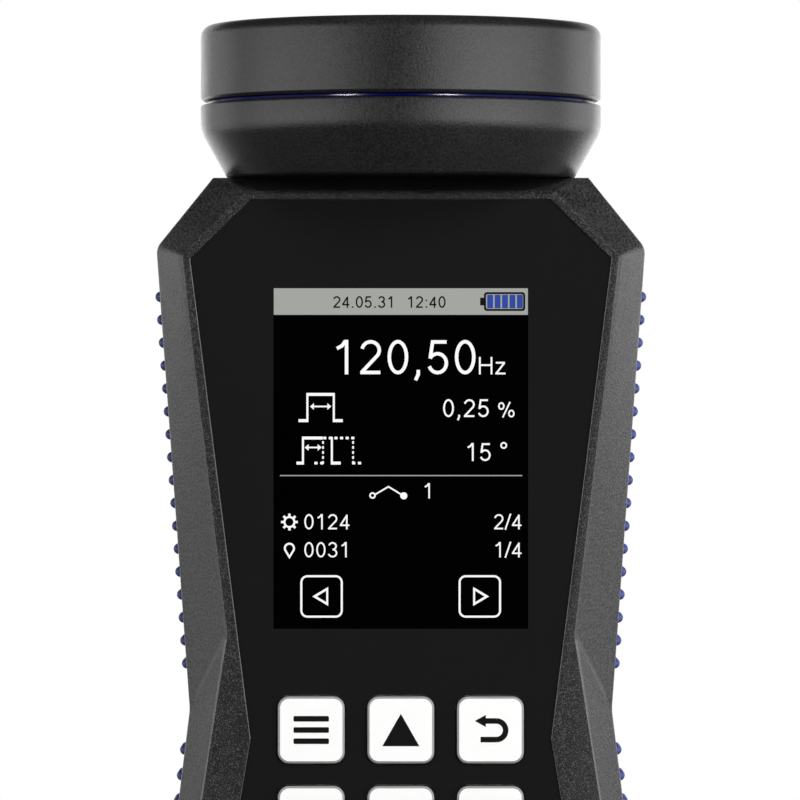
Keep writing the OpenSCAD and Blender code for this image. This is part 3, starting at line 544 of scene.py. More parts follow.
def bevelLoops(rimY, edgeY, inner, sink):
    # From the rim over a soft edge, down the ruled bevel and over a soft edge on to the side wall;
    # below the waist the rim slopes outwards by a sink
    c = casing
    hipZ, waistZ = c["rim"][hip][1], c["rim"][waist][1]
    shares = [max(0, min(1, (waistZ - z) / (waistZ - hipZ))) for x, z in rimRing]
    rimLoop = [(x, rimY + sink * share, z) for (x, z), share in zip(rimRing, shares)]
    edgeLoop = at(outRing, edgeY)
    wallLoop = at(outRing, edgeY + math.copysign(c["wallStep"], edgeY - rimY))
    soft = [c["edgeSoft"] if z > c["crispBelow"] else c["edgeCrisp"] for x, z in rimRing]
    side = [c["sideSoft"]] * len(rimRing)
    high = towards(rimLoop, edgeLoop, soft)
    low = towards(edgeLoop, rimLoop, side)
    loops = softEdge(towards(rimLoop, inner, soft), rimLoop, high)
    loops += [mix(high, low, k / c["bevelCuts"]) for k in range(1, c["bevelCuts"])]
    return loops + softEdge(low, edgeLoop, towards(edgeLoop, wallLoop, side))


def shellLoops(rimY, edgeY, floorY, inner, sink=0.0):
    # Over the bevel to the joint line, then back along the hollow to its floor
    splitY = casing["splitY"]
    joint = math.copysign(casing["joint"], edgeY - rimY)
    hollow = cavityRing(1.0)
    depth = (floorY - rimY) / (edgeY - rimY)
    return bevelLoops(rimY, edgeY, inner, sink) + [
        at(outRing, splitY - joint), at(jointRing, splitY), at(hollow, splitY), at(hollow, edgeY),
        at(cavityRing(depth), floorY)]


def frontShell():
    c = casing
    lip = at(ringOf(inset(panelCorners, -c["recessSoft"]), panelRadii), c["frontY"])
    recess = [at(panelRing, c["panelFloorY"]), at(panelRing, c["frontY"] + c["recessSoft"]), lip]
    return skin("frontShell", recess + shellLoops(c["frontY"], c["edgeY"], c["caveY"], lip, c["lowSink"]))


def rearShell():
    c = casing
    inner = at(ringOf(inset(rimCorners, c["rearInset"]), rimRadii), c["rearY"])
    return skin("rearShell", [inner] + shellLoops(c["rearY"], c["tailY"], c["rearIn"], inner))


# Posts and openings of the shells; screws at both sides, the bush and the sockets where their nodes are
openings = {
    "bosses": [(29.5, 153.0), (27.3, 74.1), (27.5, 12.5)], "postR": 3.0, "pilotR": 1.3, "pilotY": -12.0,
    "rearPostR": 3.8, "shankR": 1.45, "wellR": 2.9, "wellY": 11.0,
    "bushPostR": 6.95, "bushPostY": 6.8, "bushSeatR": 4.8, "bushSeatY": 8.0,
    "postStartY": -14.0, "postEndY": 15.0, "past": 1.0, "pastFloor": 0.7, "pastCave": 0.5,
    "keyGap": 0.25, "windowGap": 0.1, "neckR": 3.4, "neckZ": (160.0, 167.0), "jackR": 3.2, "jackZ": 2.3,
    "portGap": 0.15, "portR": 1.75, "portZ": 3.5}
keySpec = {
    "w": 11.3, "r": 1.9, "cuts": 8, "smooth": 25, "topY": -16.5, "edge": 0.36, "edgeDrop": 0.22,
    "faceTurn": 0.95, "flangeY": -13.0, "flangeT": 0.8, "flange": 0.9, "stemR": 1.6, "stemEndY": -10.9}
keyNames = ["menu", "up", "back", "left", "enter", "right", "power", "down", "light"]
keyPlaces = {name: middleOf("key_" + name)[::2] for name in keyNames}
bushZ = middleOf("tripod_bush")[2]
bosses = [(side * x, z) for side in (-1, 1) for x, z in openings["bosses"]]


def frontCuts():
    # Openings for keys and window, through the front wall and past both of its faces
    o = openings
    depths = (casing["panelFloorY"] - o["pastFloor"], casing["caveY"] + o["pastCave"])
    w = keySpec["w"] + 2 * o["keyGap"]
    keyLine = roundSquare(w, w, keySpec["r"] + o["keyGap"])
    lines = [moved(keyLine, x, z) for x, z in keyPlaces.values()]
    w, h = [b - a + 2 * o["windowGap"] for a, b in zip(*boxOf("display_window"))][::2]
    lines.append(moved(roundSquare(w, h, 0), *middleOf("display_window")[::2]))
    return joined("frontHoles", [skin("hole", [at(line, y) for y in depths]) for line in lines])


def portCut():
    w, d = [b - a + 2 * openings["portGap"] for a, b in zip(*boxOf("usb_port"))][:2]
    line = moved(roundSquare(w, d, openings["portR"]), *middleOf("usb_port")[:2])
    return skin("portSlot", [flat(line, z) for z in (-openings["past"], openings["portZ"])])


def erodedRim(c, n):
    # What faces the front, outside the panel's floor
    return c.y < casing["panelFloorY"] - casing["slack"] and n.y < -casing["facing"]


def edgeHighlightFaces(c, n):
    # Painted highlight where the soft boxes catch these edges
    # Along the panel's recess above the panel's waist, and on the rim's outer edge below the rim's waist
    least, most = casing["edgeFacing"]
    depth = c.y - casing["frontY"]
    if not least < -n.y < most or abs(n.z) > casing["edgeLean"]:
        return False
    if n.x * c.x < 0:
        return depth < casing["edgeDeep"] and c.z > casing["panel"][waist][1]
    return depth < casing["lowSink"] + casing["edgeDeep"] and c.z < casing["crispBelow"]


def creaseHighlightFaces(c, n):
    # Painted highlight where light catches the crease
    # Along the crease from the rim's waist towards the waist of the side wall
    share = (c.y - casing["frontY"]) / (casing["edgeY"] - casing["frontY"])
    x, z = mix([casing["rim"][waist]], [casing["out"][waist]], share)[0]
    near = math.hypot(abs(c.x) - x, c.z - z) < casing["creaseReach"]
    return near and casing["crease"][0] < share < casing["crease"][1]


splitY, past = casing["splitY"], openings["past"]
front = frontShell()
carve(front, rods("frontPosts", bosses, openings["postR"], openings["postStartY"], splitY), "UNION")
carve(front, frontCuts())
carve(front, rods("pilots", bosses, openings["pilotR"], openings["pilotY"], splitY + past))
dress(front, "casing_plastic", ["front_shell"])
# The eroded rim's grain with painted glints, then the painted edge and crease highlights
for finish, wanted in ((erodedPlasticAndGlints, erodedRim), (edgeHighlightPlastic, edgeHighlightFaces), (creaseHighlightPlastic, creaseHighlightFaces)):
    refinish(front, finish, wanted)

rear = rearShell()
rearPast = casing["rearY"] + past
bush = [(0.0, bushZ)]
for kind, places, radius, start, end, axis in (
        ("UNION", bosses + bush, "rearPostR", splitY, openings["postEndY"], "Y"),
        ("UNION", bush, "bushPostR", openings["bushPostY"], openings["postEndY"], "Y"),
        ("DIFFERENCE", bosses, "shankR", splitY - past, rearPast, "Y"),
        ("DIFFERENCE", bosses, "wellR", openings["wellY"], rearPast, "Y"),
        ("DIFFERENCE", bush, "bushSeatR", openings["bushSeatY"], rearPast, "Y"),
        ("DIFFERENCE", [(0.0, 0.0)], "neckR", *openings["neckZ"], "Z")):
    carve(rear, rods("rearTool", places, openings[radius], start, end, axis), kind)
carve(rear, portCut())
jack = [middleOf("trigger_jack")[:2]]
carve(rear, rods("jackHole", jack, openings["jackR"], -past, openings["jackZ"], "Z"))
dress(rear, "casing_plastic", ["rear_shell"])
refinish(rear, erodedPlasticAndGlints, lambda c, n: c.y > casing["rearY"] - casing["slack"])
print("stage: shells")


# Lamp head: turned pieces, radius and height from the base of the casing

bowl = {
    "r": 34.4, "footR": 29.8, "footZ": 165.0, "shoulderZ": 173.2, "rimZ": 177.6, "collarR": 31.6,
    "collarZ": 185.2, "boreR": 30.4, "boreZ": 171.02, "floorR": 28.41, "floorZ": 167.4, "neckR": 3.2,
    "neckZ": 158.8, "wireR": 2.2, "sealR": (3.6, 4.8), "sealDeep": 0.8,
    "footRound": 1.0, "shoulderRound": 5.0, "rimRound": 0.4}
bezel = {
    "r": 34.4, "footZ": 178.3, "topZ": 191.3, "boreR": 31.8, "lipR": 29.0, "lipZ": 188.7, "footBevel": 0.5,
    "lipBevel": 0.8, "topRound": 2.0, "smallRound": 0.3, "cuts": 8}
accent = {"boreR": 31.65, "r": 33.1, "low": 177.6, "high": 178.3, "edge": 0.2}
lens = {"boreR": 0.0, "r": 31.4, "low": 185.2, "high": 188.2, "edge": 0.3}
headSteps = 160


def lampBowl():
    b = bowl
    near, far = b["sealR"]
    top = b["footZ"] + b["sealDeep"]
    inside = [(b["wireR"], b["neckZ"]), (b["neckR"], b["neckZ"]), (b["neckR"], b["footZ"]),
              (near, b["footZ"]), (near, top), (far, top), (far, b["footZ"])]
    outside = [(b["footR"], b["footZ"]), (b["r"], b["shoulderZ"]), (b["r"], b["rimZ"])]
    collar = [(b["collarR"], b["rimZ"]), (b["collarR"], b["collarZ"]), (b["boreR"], b["collarZ"]),
              (b["boreR"], b["boreZ"]), (b["floorR"], b["floorZ"]), (b["wireR"], b["floorZ"])]
    radii = [0] * len(inside) + [b["footRound"], b["shoulderRound"], b["rimRound"]] + [0] * len(collar)
    return turned("lampBowl", rounded(inside + outside + collar, radii), headSteps)


def frontBezel():
    b = bezel
    small = b["smallRound"]
    corners = [
        (b["boreR"], b["footZ"]), (b["r"] - b["footBevel"], b["footZ"]),
        (b["r"], b["footZ"] + b["footBevel"]), (b["r"], b["topZ"]), (b["lipR"] + b["lipBevel"], b["topZ"]),
        (b["lipR"], b["topZ"] - b["lipBevel"]), (b["lipR"], b["lipZ"]), (b["boreR"], b["lipZ"])]
    radii = [0, small, small, b["topRound"], small, small, 0, 0]
    return turned("frontBezel", rounded(corners, radii, b["cuts"]), headSteps)


def hoop(name, boreR, r, low, high, edge):
    # A ring or, with no bore, a disc with rounded outer edges
    corners = [(boreR, low), (r, low), (r, high), (boreR, high)]
    return turned(name, rounded(corners, [0, edge, edge, 0]), headSteps)


dress(lampBowl(), "casing_plastic", ["lamp_bowl"], headPlastic)
dress(frontBezel(), "casing_plastic", ["front_bezel"], headPlastic)
accentRing = dress(hoop("accentRing", **accent), "accent_rubber", ["accent_ring"])
dress(hoop("frontLens", **lens), "lens_glass", ["front_lens"])

# Reflector with a cup over each lamp: hexagon rows of lamps, cups past both faces for a clean cut
lamps = {
    "pitch": 10.6, "rows": 2, "plateR": 29.9, "plateSteps": 96, "low": 176.7, "high": 184.8,
    "cupFootR": 2.7, "cupR": 4.95, "cupSteps": 32, "past": 1.0, "base": 3.5, "baseRound": 0.25,
    "baseCuts": 2, "baseT": 0.9, "domeR": 1.3, "domeCuts": 5, "domeSteps": 16}
lampRows = range(-lamps["rows"], lamps["rows"] + 1)
lampPlaces = [(lamps["pitch"] * (q + r / 2), lamps["pitch"] * r * math.sin(math.pi / 3))
              for q in lampRows for r in lampRows if q + r in lampRows]


def copiesAt(piece, places):
    out = [copyOf(piece, shift(x, y, 0)) for x, y in places]
    bpy.data.objects.remove(piece)
    return out


def reflector():
    s = lamps
    flare = (s["cupR"] - s["cupFootR"]) / (s["high"] - s["low"]) * s["past"]
    low, high = s["low"] - s["past"], s["high"] + s["past"]
    cupLine = [(0, low), (s["cupFootR"] - flare, low), (s["cupR"] + flare, high), (0, high)]
    plateLine = [(0, s["low"]), (s["plateR"], s["low"]), (s["plateR"], s["high"]), (0, s["high"])]
    piece = turned("reflectorPlate", plateLine, s["plateSteps"])
    carve(piece, joined("cups", copiesAt(turned("cup", cupLine, s["cupSteps"]), lampPlaces)))
    return piece


def emitters():
    s = lamps
    line = roundSquare(s["base"], s["base"], s["baseRound"], s["baseCuts"])
    top = s["low"] + s["baseT"]
    base = skin("lampBase", [flat(line, z) for z in (s["low"], top)])
    dome = turned("lampDome", domeLine(s["domeR"], s["domeCuts"], top), s["domeSteps"])
    return joined("lampEmitters", copiesAt(joined("oneLamp", [base, dome]), lampPlaces))


dress(reflector(), "reflector_plastic", ["reflector"])
dress(emitters(), "emitter_plastic", ["uv_leds"])
print("stage: lamp head")


# Grip nubs: one dome, copied in three columns on to both side walls

nubs = {"r": 0.944, "steps": 14, "cuts": 4, "columnY": 1.0, "columnStep": 3.6, "smooth": 60,
        "groups": [{"wall": (waist, shoulder), "first": 144.7, "pitch": 3.93, "rows": 17},
                   {"wall": (hip, waist), "first": 67.0, "pitch": 4.42, "rows": 7}]}


def gripNubs(side, name):
    nub = turned("nub", domeLine(nubs["r"], nubs["cuts"]), nubs["steps"])
    parts = []
    for group in nubs["groups"]:
        low, high = [casing["out"][i] for i in group["wall"]]
        lean = (high[0] - low[0]) / (high[1] - low[1])
        turn = Matrix.Rotation(side * (math.pi / 2 + math.atan(lean)), 4, "Y")
        for row in range(group["rows"]):
            z = group["first"] - row * group["pitch"]
            x = side * (low[0] + lean * (z - low[1]))
            for column in (-1, 0, 1):
                y = nubs["columnY"] + column * nubs["columnStep"]
                parts.append(copyOf(nub, shift(x, y, z) @ turn))
    bpy.data.objects.remove(nub)
    return joined(name, parts)


for side, label in ((-1, "left"), (1, "right")):
    dress(gripNubs(side, "gripNubs_" + label), "grip_rubber", ["grip_nubs_" + label], angle=nubs["smooth"])
print("stage: grip nubs")


# Keys: one cap with its bevelled edge, flange and stem, copied to nine places

def keyCap():
    s = keySpec
    face, side, wide = [roundSquare(s["w"] + 2 * d, s["w"] + 2 * d, s["r"] + d, s["cuts"])
                        for d in (-s["edge"], 0, s["flange"])]
    stem = [(s["stemR"] * x / math.hypot(x, z), s["stemR"] * z / math.hypot(x, z)) for x, z in wide]
    flangeEnd = s["flangeY"] + s["flangeT"]
    return skin("keyCap", [
        at(face, s["topY"]), at(side, s["topY"] + s["edgeDrop"]), at(side, s["flangeY"]),
        at(wide, s["flangeY"]), at(wide, flangeEnd), at(stem, flangeEnd), at(stem, s["stemEndY"])])


oneKey = keyCap()
for name, (x, z) in keyPlaces.items():
    cap = copyOf(oneKey, shift(x, 0, z))
    cap.name = "keyCap_" + name
    dress(cap, "key_plastic", ["key_" + name], body="key_" + name + "_body", angle=keySpec["smooth"])
    # Faces turned from the front take the painted shade
    refinish(cap, keyEdgeShade, lambda c, n: n.y > -keySpec["faceTurn"])
bpy.data.objects.remove(oneKey)
print("stage: keys")


# Printed and lit marks: thin solids, built at the origin and moved on to their faces

markT = 0.03  # thickness of ink or lit cells
sunk = 0.005  # how far a mark starts behind its face


def plate(points, t=markT):
    return skin("mark", [at(points, 0), at(points, -t)])


def band(outer, inner):
    return skin("mark", [at(outer, 0), at(outer, -markT), at(inner, -markT), at(inner, 0)], True)


def bow(x, z, rx, rz, start, end, steps=24):
    # Points along a part of an ellipse, angles in degrees
    angles = [math.radians(start + (end - start) * k / steps) for k in range(steps + 1)]
    return [(x + rx * math.cos(a), z + rz * math.sin(a)) for a in angles]


def ribbon(points, w):
    # A stroke of even width along a line of points; one that ends where it starts is a closed band
    line = [complex(*p) for p in points]
    closed = abs(line[0] - line[-1]) < samePoint
    if closed:
        line = line[:-1]
        before, after = line[-1:] + line[:-1], line[1:] + line[:1]
    else:
        before, after = [2 * line[0] - line[1]] + line[:-1], line[1:] + [2 * line[-1] - line[-2]]
    ways = [mitre(*three) * w / 2 for three in zip(before, line, after)]
    left, right = [asPairs([p + sign * way for p, way in zip(line, ways)]) for sign in (1, -1)]
    return band(left, right) if closed else plate(left + right[::-1])


def arc(x, z, r, w, start=0, end=360):
    return ribbon(bow(x, z, r, r, start, end), w)


def disc(x, z, r):
    return plate(bow(x, z, r, r, 0, 360)[:-1])


def rays(x, z, near, far, w, count=8):
    turns = [2 * math.pi / count * k for k in range(count)]
    return [ribbon([(x + r * math.cos(a), z + r * math.sin(a)) for r in (near, far)], w) for a in turns]


def square(x0, z0, x1, z1, t=markT):
    return plate([(x0, z0), (x1, z0), (x1, z1), (x0, z1)], t)


def placed(name, marks, x, y, z):
    piece = joined(name, marks)
    piece.data.transform(shift(x, y, z))
    return piece


# Signs printed on the keys: three bars, arrows, a turn back, a ring, a power sign and a lamp
keySigns = {
    "line": 0.94, "bars": (6.0, 0.95, 0.2, 3), "barStep": 1.9, "arrowHalf": 3.14, "arrowRise": 2.75,
    "turnX": 1.0, "turnZ": -0.05, "turnR": 1.58, "turnTail": -1.68, "tipX": -2.66, "tipFoot": -0.78,
    "tipHalf": 1.03, "tipLap": 0.1, "ringR": 2.5, "dotR": 1.05, "powerDrop": 0.2, "powerGap": (122, 418),
    "powerLine": (0.2, 3.1), "rayLine": 0.75, "rayR": (2.2, 3.3), "lampR": 1.45}


def keyMark(name):
    s = keySigns
    turns = {"up": 1, "left": 1j, "down": -1, "right": -1j}
    if name in turns:
        half, rise = s["arrowHalf"], s["arrowRise"]
        corners = (complex(-half, -rise), complex(half, -rise), complex(0, rise))
        return [plate(asPairs([turns[name] * corner for corner in corners]))]
    if name == "menu":
        return [plate(moved(roundSquare(*s["bars"]), 0, k * s["barStep"])) for k in (1, 0, -1)]
    if name == "back":
        x, z, r = s["turnX"], s["turnZ"], s["turnR"]
        foot, half = s["tipFoot"], s["tipHalf"]
        tip = [(s["tipX"], z + r), (foot, z + r - half), (foot, z + r + half)]
        lines = [[(x, z - r), (s["turnTail"], z - r)], [(x, z + r), (foot - s["tipLap"], z + r)],
                 bow(x, z, r, r, -90, 90)]
        return [ribbon(line, s["line"]) for line in lines] + [plate(tip)]
    if name == "enter":
        return [arc(0, 0, s["ringR"], s["line"]), disc(0, 0, s["dotR"])]
    if name == "power":
        stem = [(0, h) for h in s["powerLine"]]
        return [arc(0, -s["powerDrop"], s["ringR"], s["line"], *s["powerGap"]), ribbon(stem, s["line"])]
    return rays(0, 0, *s["rayR"], s["rayLine"]) + [disc(0, 0, s["lampR"])]


for name, (x, z) in keyPlaces.items():
    mark = placed("keyMark_" + name, keyMark(name), x, keySpec["topY"] + sunk, z)
    dress(mark, "black_plastic", material=keyInk, body="key_" + name + "_body")

# Plain figures and unit signs as strokes in a height of one: the advance, then the strokes
glyphs = {
    "0": (0.78, [bow(0.39, 0.5, 0.25, 0.45, 0, 360)]),
    "1": (0.78, [[(0.18, 0.75), (0.33, 0.83), (0.43, 0.97)], [(0.46, 1.0), (0.46, 0.0)]]),
    "2": (0.78, [bow(0.38, 0.7, 0.25, 0.245, 170, -38, 16) + [(0.12, 0.06)],
                 [(0.08, 0.055), (0.66, 0.055)]]),
    "3": (0.78, [bow(0.37, 0.735, 0.23, 0.215, 165, -90, 16), bow(0.37, 0.285, 0.26, 0.235, 90, -165, 16)]),
    "4": (0.78, [[(0.52, 0.0), (0.52, 0.96)], [(0.53, 0.93), (0.11, 0.28)], [(0.07, 0.27), (0.69, 0.27)]]),
    "5": (0.78, [[(0.18, 0.94), (0.63, 0.94)], [(0.23, 0.97), (0.155, 0.46)],
                 bow(0.37, 0.325, 0.255, 0.275, 148, -160, 18)]),
    ",": (0.39, [[(0.2, 0.13), (0.2, 0.0), (0.12, -0.17)]]),
    ".": (0.39, [[(0.2, 0.13), (0.2, 0.0)]]),
    ":": (0.39, [[(0.2, 0.13), (0.2, 0.0)], [(0.2, 0.7), (0.2, 0.57)]]),
    "/": (0.39, [[(0.02, -0.02), (0.37, 1.02)]]),
    "H": (1.01, [[(0.17, 0.0), (0.17, 1.0)], [(0.84, 0.0), (0.84, 1.0)], [(0.17, 0.53), (0.84, 0.53)]]),
    "z": (0.7, [[(0.08, 0.67), (0.6, 0.67)], [(0.57, 0.66), (0.11, 0.06)], [(0.05, 0.05), (0.64, 0.05)]]),
    "%": (1.24, [bow(0.28, 0.75, 0.17, 0.21, 0, 360), bow(0.96, 0.24, 0.17, 0.21, 0, 360),
                 [(0.37, -0.03), (0.87, 1.03)]])}

# What the screen shows: x from its middle, z from its lower edge
display = {
    "lap": 0.9, "stroke": 0.1, "clockStroke": 0.135, "barT": 0.02,
    "figures": [("120,50", -11.9, 43.15, 5.85), ("Hz", 12.9, 43.15, 2.95), ("0,25", 6.9, 35.9, 3.05),
                ("%", 16.35, 35.9, 2.5), ("15", 10.8, 28.45, 3.05), ("1", 3.6, 22.1, 2.6),
                ("0124", -16.6, 16.85, 2.6), ("0031", -16.6, 12.1, 2.6)],
    "counts": [("2/4", 20.7, 16.85, 2.6), ("1/4", 20.7, 12.1, 2.6)],
    "degree": (17.45, 31.1, 0.45, 0.26),
    "thin": 0.34, "thick": 0.5, "arrow": 0.26, "arrowTip": (0.65, 0.55),
    "posts": [(-15.85, 35.05, 39.95), (-11.37, 35.05, 39.95), (-16.6, 27.85, 32.55), (-11.7, 27.85, 32.55)],
    "steps": [(-17.35, -15.7, 35.3), (-16.0, -11.2, 39.75), (-11.53, -9.85, 35.3),
              (-17.7, -16.45, 28.1), (-16.75, -13.25, 32.35), (-11.85, -10.2, 28.1)],
    "arrows": [(-15.4, -11.8, 37.7), (-16.3, -13.45, 30.75)],
    "dash": (0.52, 0.44, 0.05, 1), "dashRow": (-12.9, 32.35, 0.95, 6),
    "dashFeet": [(-14.4, 28.1), (-13.4, 28.1), (-8.0, 28.1), (-7.0, 28.1)],
    "postDash": (0.3, 0.46, 0.05, 1), "dashPosts": (-13.2, -8.1),
    "dashTop": 31.6, "dashStep": 0.85, "dashes": 5,
    "line": (-20.5, 25.89, 20.6, 26.07), "bar": (-21.55, 53.25, 21.55, 57.75),
    "clock": [("24.05.31", -11.6, 54.45, 1.95), ("12:40", 0.9, 54.45, 1.95)],
    "cell": (17.6, 55.5), "cellOut": (7.0, 3.2, 0.5), "cellIn": (6.3, 2.5, 0.25),
    "cellNose": (13.45, 54.85, 14.15, 56.15),
    "charge": (14.65, 54.35, 15.65, 56.65), "chargeStep": 1.26, "charges": 5,
    "route": [(-4.4, 22.75), (-2.1, 24.1), (0.2, 22.7)],
    "routeStart": (-4.8, 22.6, 0.42), "routeEnd": (0.5, 22.55, 0.6),
    "gear": (-18.9, 18.1), "gearR": 0.85, "gearLine": 0.32, "teeth": (1.0, 1.42), "toothW": 0.4,
    "pin": (-18.9, 13.65), "pinR": 0.78, "pinTip": -1.5, "pinOpen": -35,
    "softX": (-13.45, 13.4), "softZ": 5.48, "softOut": (7.2, 7.2, 1.2), "softIn": (6.52, 6.52, 0.85),
    "softTip": [(1.57, 0), (-1.13, 1.6), (-1.13, -1.6)], "softCore": [(0.8, 0), (-0.8, 0.98), (-0.8, -0.98)]}
screenZ = boxOf("display_window")[0][2] + display["lap"]  # the window reaches a lap under the film
screenY = casing["panelFloorY"] + sunk


def figures(rows, fromRight=False, stroke="stroke"):
    # Rows of figures, each from its left or right end and standing on its height
    marks = []
    for words, x, z, height in rows:
        if fromRight:
            x -= sum(glyphs[sign][0] for sign in words) * height
        for sign in words:
            advance, strokes = glyphs[sign]
            for points in strokes:
                line = [(x + px * height, z + pz * height) for px, pz in points]
                marks.append(ribbon(line, display[stroke] * height))
            x += advance * height
    return marks


def pulseSigns():
    # Two pulse diagrams with an arrow across each; the second has a dashed pulse too
    d = display
    marks = [ribbon([(x, low), (x, high)], d["thin"]) for x, low, high in d["posts"]]
    marks += [ribbon([(x0, z), (x1, z)], d["thick"]) for x0, x1, z in d["steps"]]
    long, half = d["arrowTip"]
    for x0, x1, z in d["arrows"]:
        marks.append(ribbon([(x0 + long / 2, z), (x1 - long / 2, z)], d["arrow"]))
        marks.append(plate([(x0, z), (x0 + long, z - half), (x0 + long, z + half)]))
        marks.append(plate([(x1, z), (x1 - long, z + half), (x1 - long, z - half)]))
    x, z, step, count = d["dashRow"]
    row = [(x + k * step, z) for k in range(count)]
    posts = [(x, d["dashTop"] - k * d["dashStep"]) for x in d["dashPosts"] for k in range(d["dashes"])]
    for shape, places in (("dash", row + d["dashFeet"]), ("postDash", posts)):
        marks += [plate(moved(roundSquare(*d[shape]), x, z)) for x, z in places]
    return marks


def rowSigns():
    # A route, a gear and a place pin before the rows of figures
    d = display
    x, z = d["pin"]
    loop = bow(x, z, d["pinR"], d["pinR"], d["pinOpen"], 180 - d["pinOpen"])
    return [ribbon(d["route"], d["arrow"]), arc(*d["routeStart"], d["arrow"]), disc(*d["routeEnd"]),
            arc(*d["gear"], d["gearR"], d["gearLine"]), *rays(*d["gear"], *d["teeth"], d["toothW"]),
            ribbon(loop + [(x, z + d["pinTip"]), loop[0]], d["gearLine"])]


def softKeys():
    d = display
    marks = []
    for x, side in zip(d["softX"], (-1, 1)):
        frames = [roundSquare(*d[key]) for key in ("softOut", "softIn")]
        tips = [[(side * px, pz) for px, pz in d[key]] for key in ("softTip", "softCore")]
        marks += [band(*[moved(line, x, d["softZ"]) for line in pair]) for pair in (frames, tips)]
    return marks


def screenBlack():
    # Clock and cell outline
    cell = [moved(roundSquare(*display[key]), *display["cell"]) for key in ("cellOut", "cellIn")]
    return figures(display["clock"], stroke="clockStroke") + [band(*cell), square(*display["cellNose"])]


def screenBlue():
    # Charge of the cell
    x0, z0, x1, z1 = display["charge"]
    steps = [k * display["chargeStep"] for k in range(display["charges"])]
    return [square(x0 + dx, z0, x1 + dx, z1) for dx in steps]


white = [arc(*display["degree"])] + figures(display["figures"]) + figures(display["counts"], True)
white += pulseSigns() + rowSigns() + softKeys()
grey = [square(*display["bar"], display["barT"]), square(*display["line"])]
# Black and blue marks lie on the grey bar
for name, marks, finish, rise in (
        ("displayWhite", white, litWhite, 0), ("displayGrey", grey, litGrey, 0),
        ("displayBlack", screenBlack(), litBlack, display["barT"]),
        ("displayBlue", screenBlue(), litBlue, display["barT"])):
    dress(placed(name, marks, 0, screenY - rise, screenZ), "window_plastic", material=finish)
print("stage: marks")


# Tripod bush: a quarter-inch thread of 20 turns to the inch, drawn as closed grooves

thread = {"r": 4.75, "boreR": 2.72, "deepR": 3.175, "pitch": 1.27, "crest": 0.16, "startY": 8.0,
          "endY": 16.0, "edge": 0.25, "mouth": 0.5, "mouthY": 15.4, "turns": 5, "steps": 48}


def tripodBush():
    t = thread
    profile = [
        (t["boreR"] + t["mouth"], t["endY"]), (t["r"] - t["edge"], t["endY"]),
        (t["r"], t["endY"] - t["edge"]), (t["r"], t["startY"]), (t["boreR"], t["startY"])]
    for turn in range(t["turns"]):
        y = t["startY"] + turn * t["pitch"]
        profile += [(t["boreR"], y + t["crest"]), (t["deepR"], y + t["pitch"] / 2),
                    (t["boreR"], y + t["pitch"] - t["crest"])]
    return turned("tripodBush", profile + [(t["boreR"], t["mouthY"])], t["steps"], "Y", bushZ)


dress(tripodBush(), "brass", ["tripod_bush"])
print("stage: fittings")


# Stage in metres: pale floor, soft boxes at both sides and a white backdrop

studio = {
    # Brightness by degrees round from the camera, left to right, then its share by degrees of height
    "peak": 3.9,
    "round": [(-180, 2.7), (-160, 2.4), (-152, 1.8), (-144, 0.6), (-133, 0.36), (-125, 0.5), (-116, 0.68),
              (-108, 0.7), (-97, 1.4), (-88, 2.2), (-76, 2.6), (-60, 2.5), (-45, 2.4), (-30, 1.6),
              (-18, 0.6), (-8, 0.1), (2, 0.1), (12, 1.0), (24, 2.75), (36, 3.75), (60, 3.9), (85, 2.5),
              (98, 1.4), (108, 0.8), (116, 0.82), (125, 0.56), (131, 0.34), (144, 0.62), (152, 2.2),
              (160, 2.7), (180, 2.7)],
    "height": [(-90, 0.025), (-31, 0.033), (-16, 0.7), (-11, 0.74), (-6.5, 0.6), (-3.5, 0.92), (-1.5, 1.0),
               (0.5, 0.86), (3, 0.82), (4.5, 0.8), (9, 0.65), (15, 0.58), (23, 0.08), (34, 0.025),
               (90, 0.025)],
    "backdrop": 0.94, "floorR": 0.7, "floorSides": 96, "floorZ": -0.0002, "floorCloud": 60 * mm,
    "floorDark": "#f3f3f2", "floorLight": "#f7f7f6", "floorRough": 0.8, "floorSpecular": 0.1,
    "floorFade": (0.2, 0.55), "floorGlow": 0.5,
    "leftLight": {"place": (-0.26, 0.14, 0.17), "aim": (0, 0, 0.15), "size": (0.15, 0.16), "power": 0.055},
    "rightLight": {"place": (0.26, 0.14, 0.17), "aim": (0, 0, 0.15), "size": (0.15, 0.16), "power": 0.09},
    "topLight": {"place": (0.4, -1.0, 0.9), "aim": (0, 0, 0.1), "size": (0.5, 0.5), "power": 11.5},
    "glintX": (-0.6, 0.5),
    "glint": {"place": (0, -0.95, 0.237), "aim": (0, 0, 0.178), "size": (0.24, 0.08), "power": 20.0},
    "camera": (-0.00014, -1.06, 0.127), "sensor": 36.0, "lens": 277.2, "clip": (0.01, 20)}


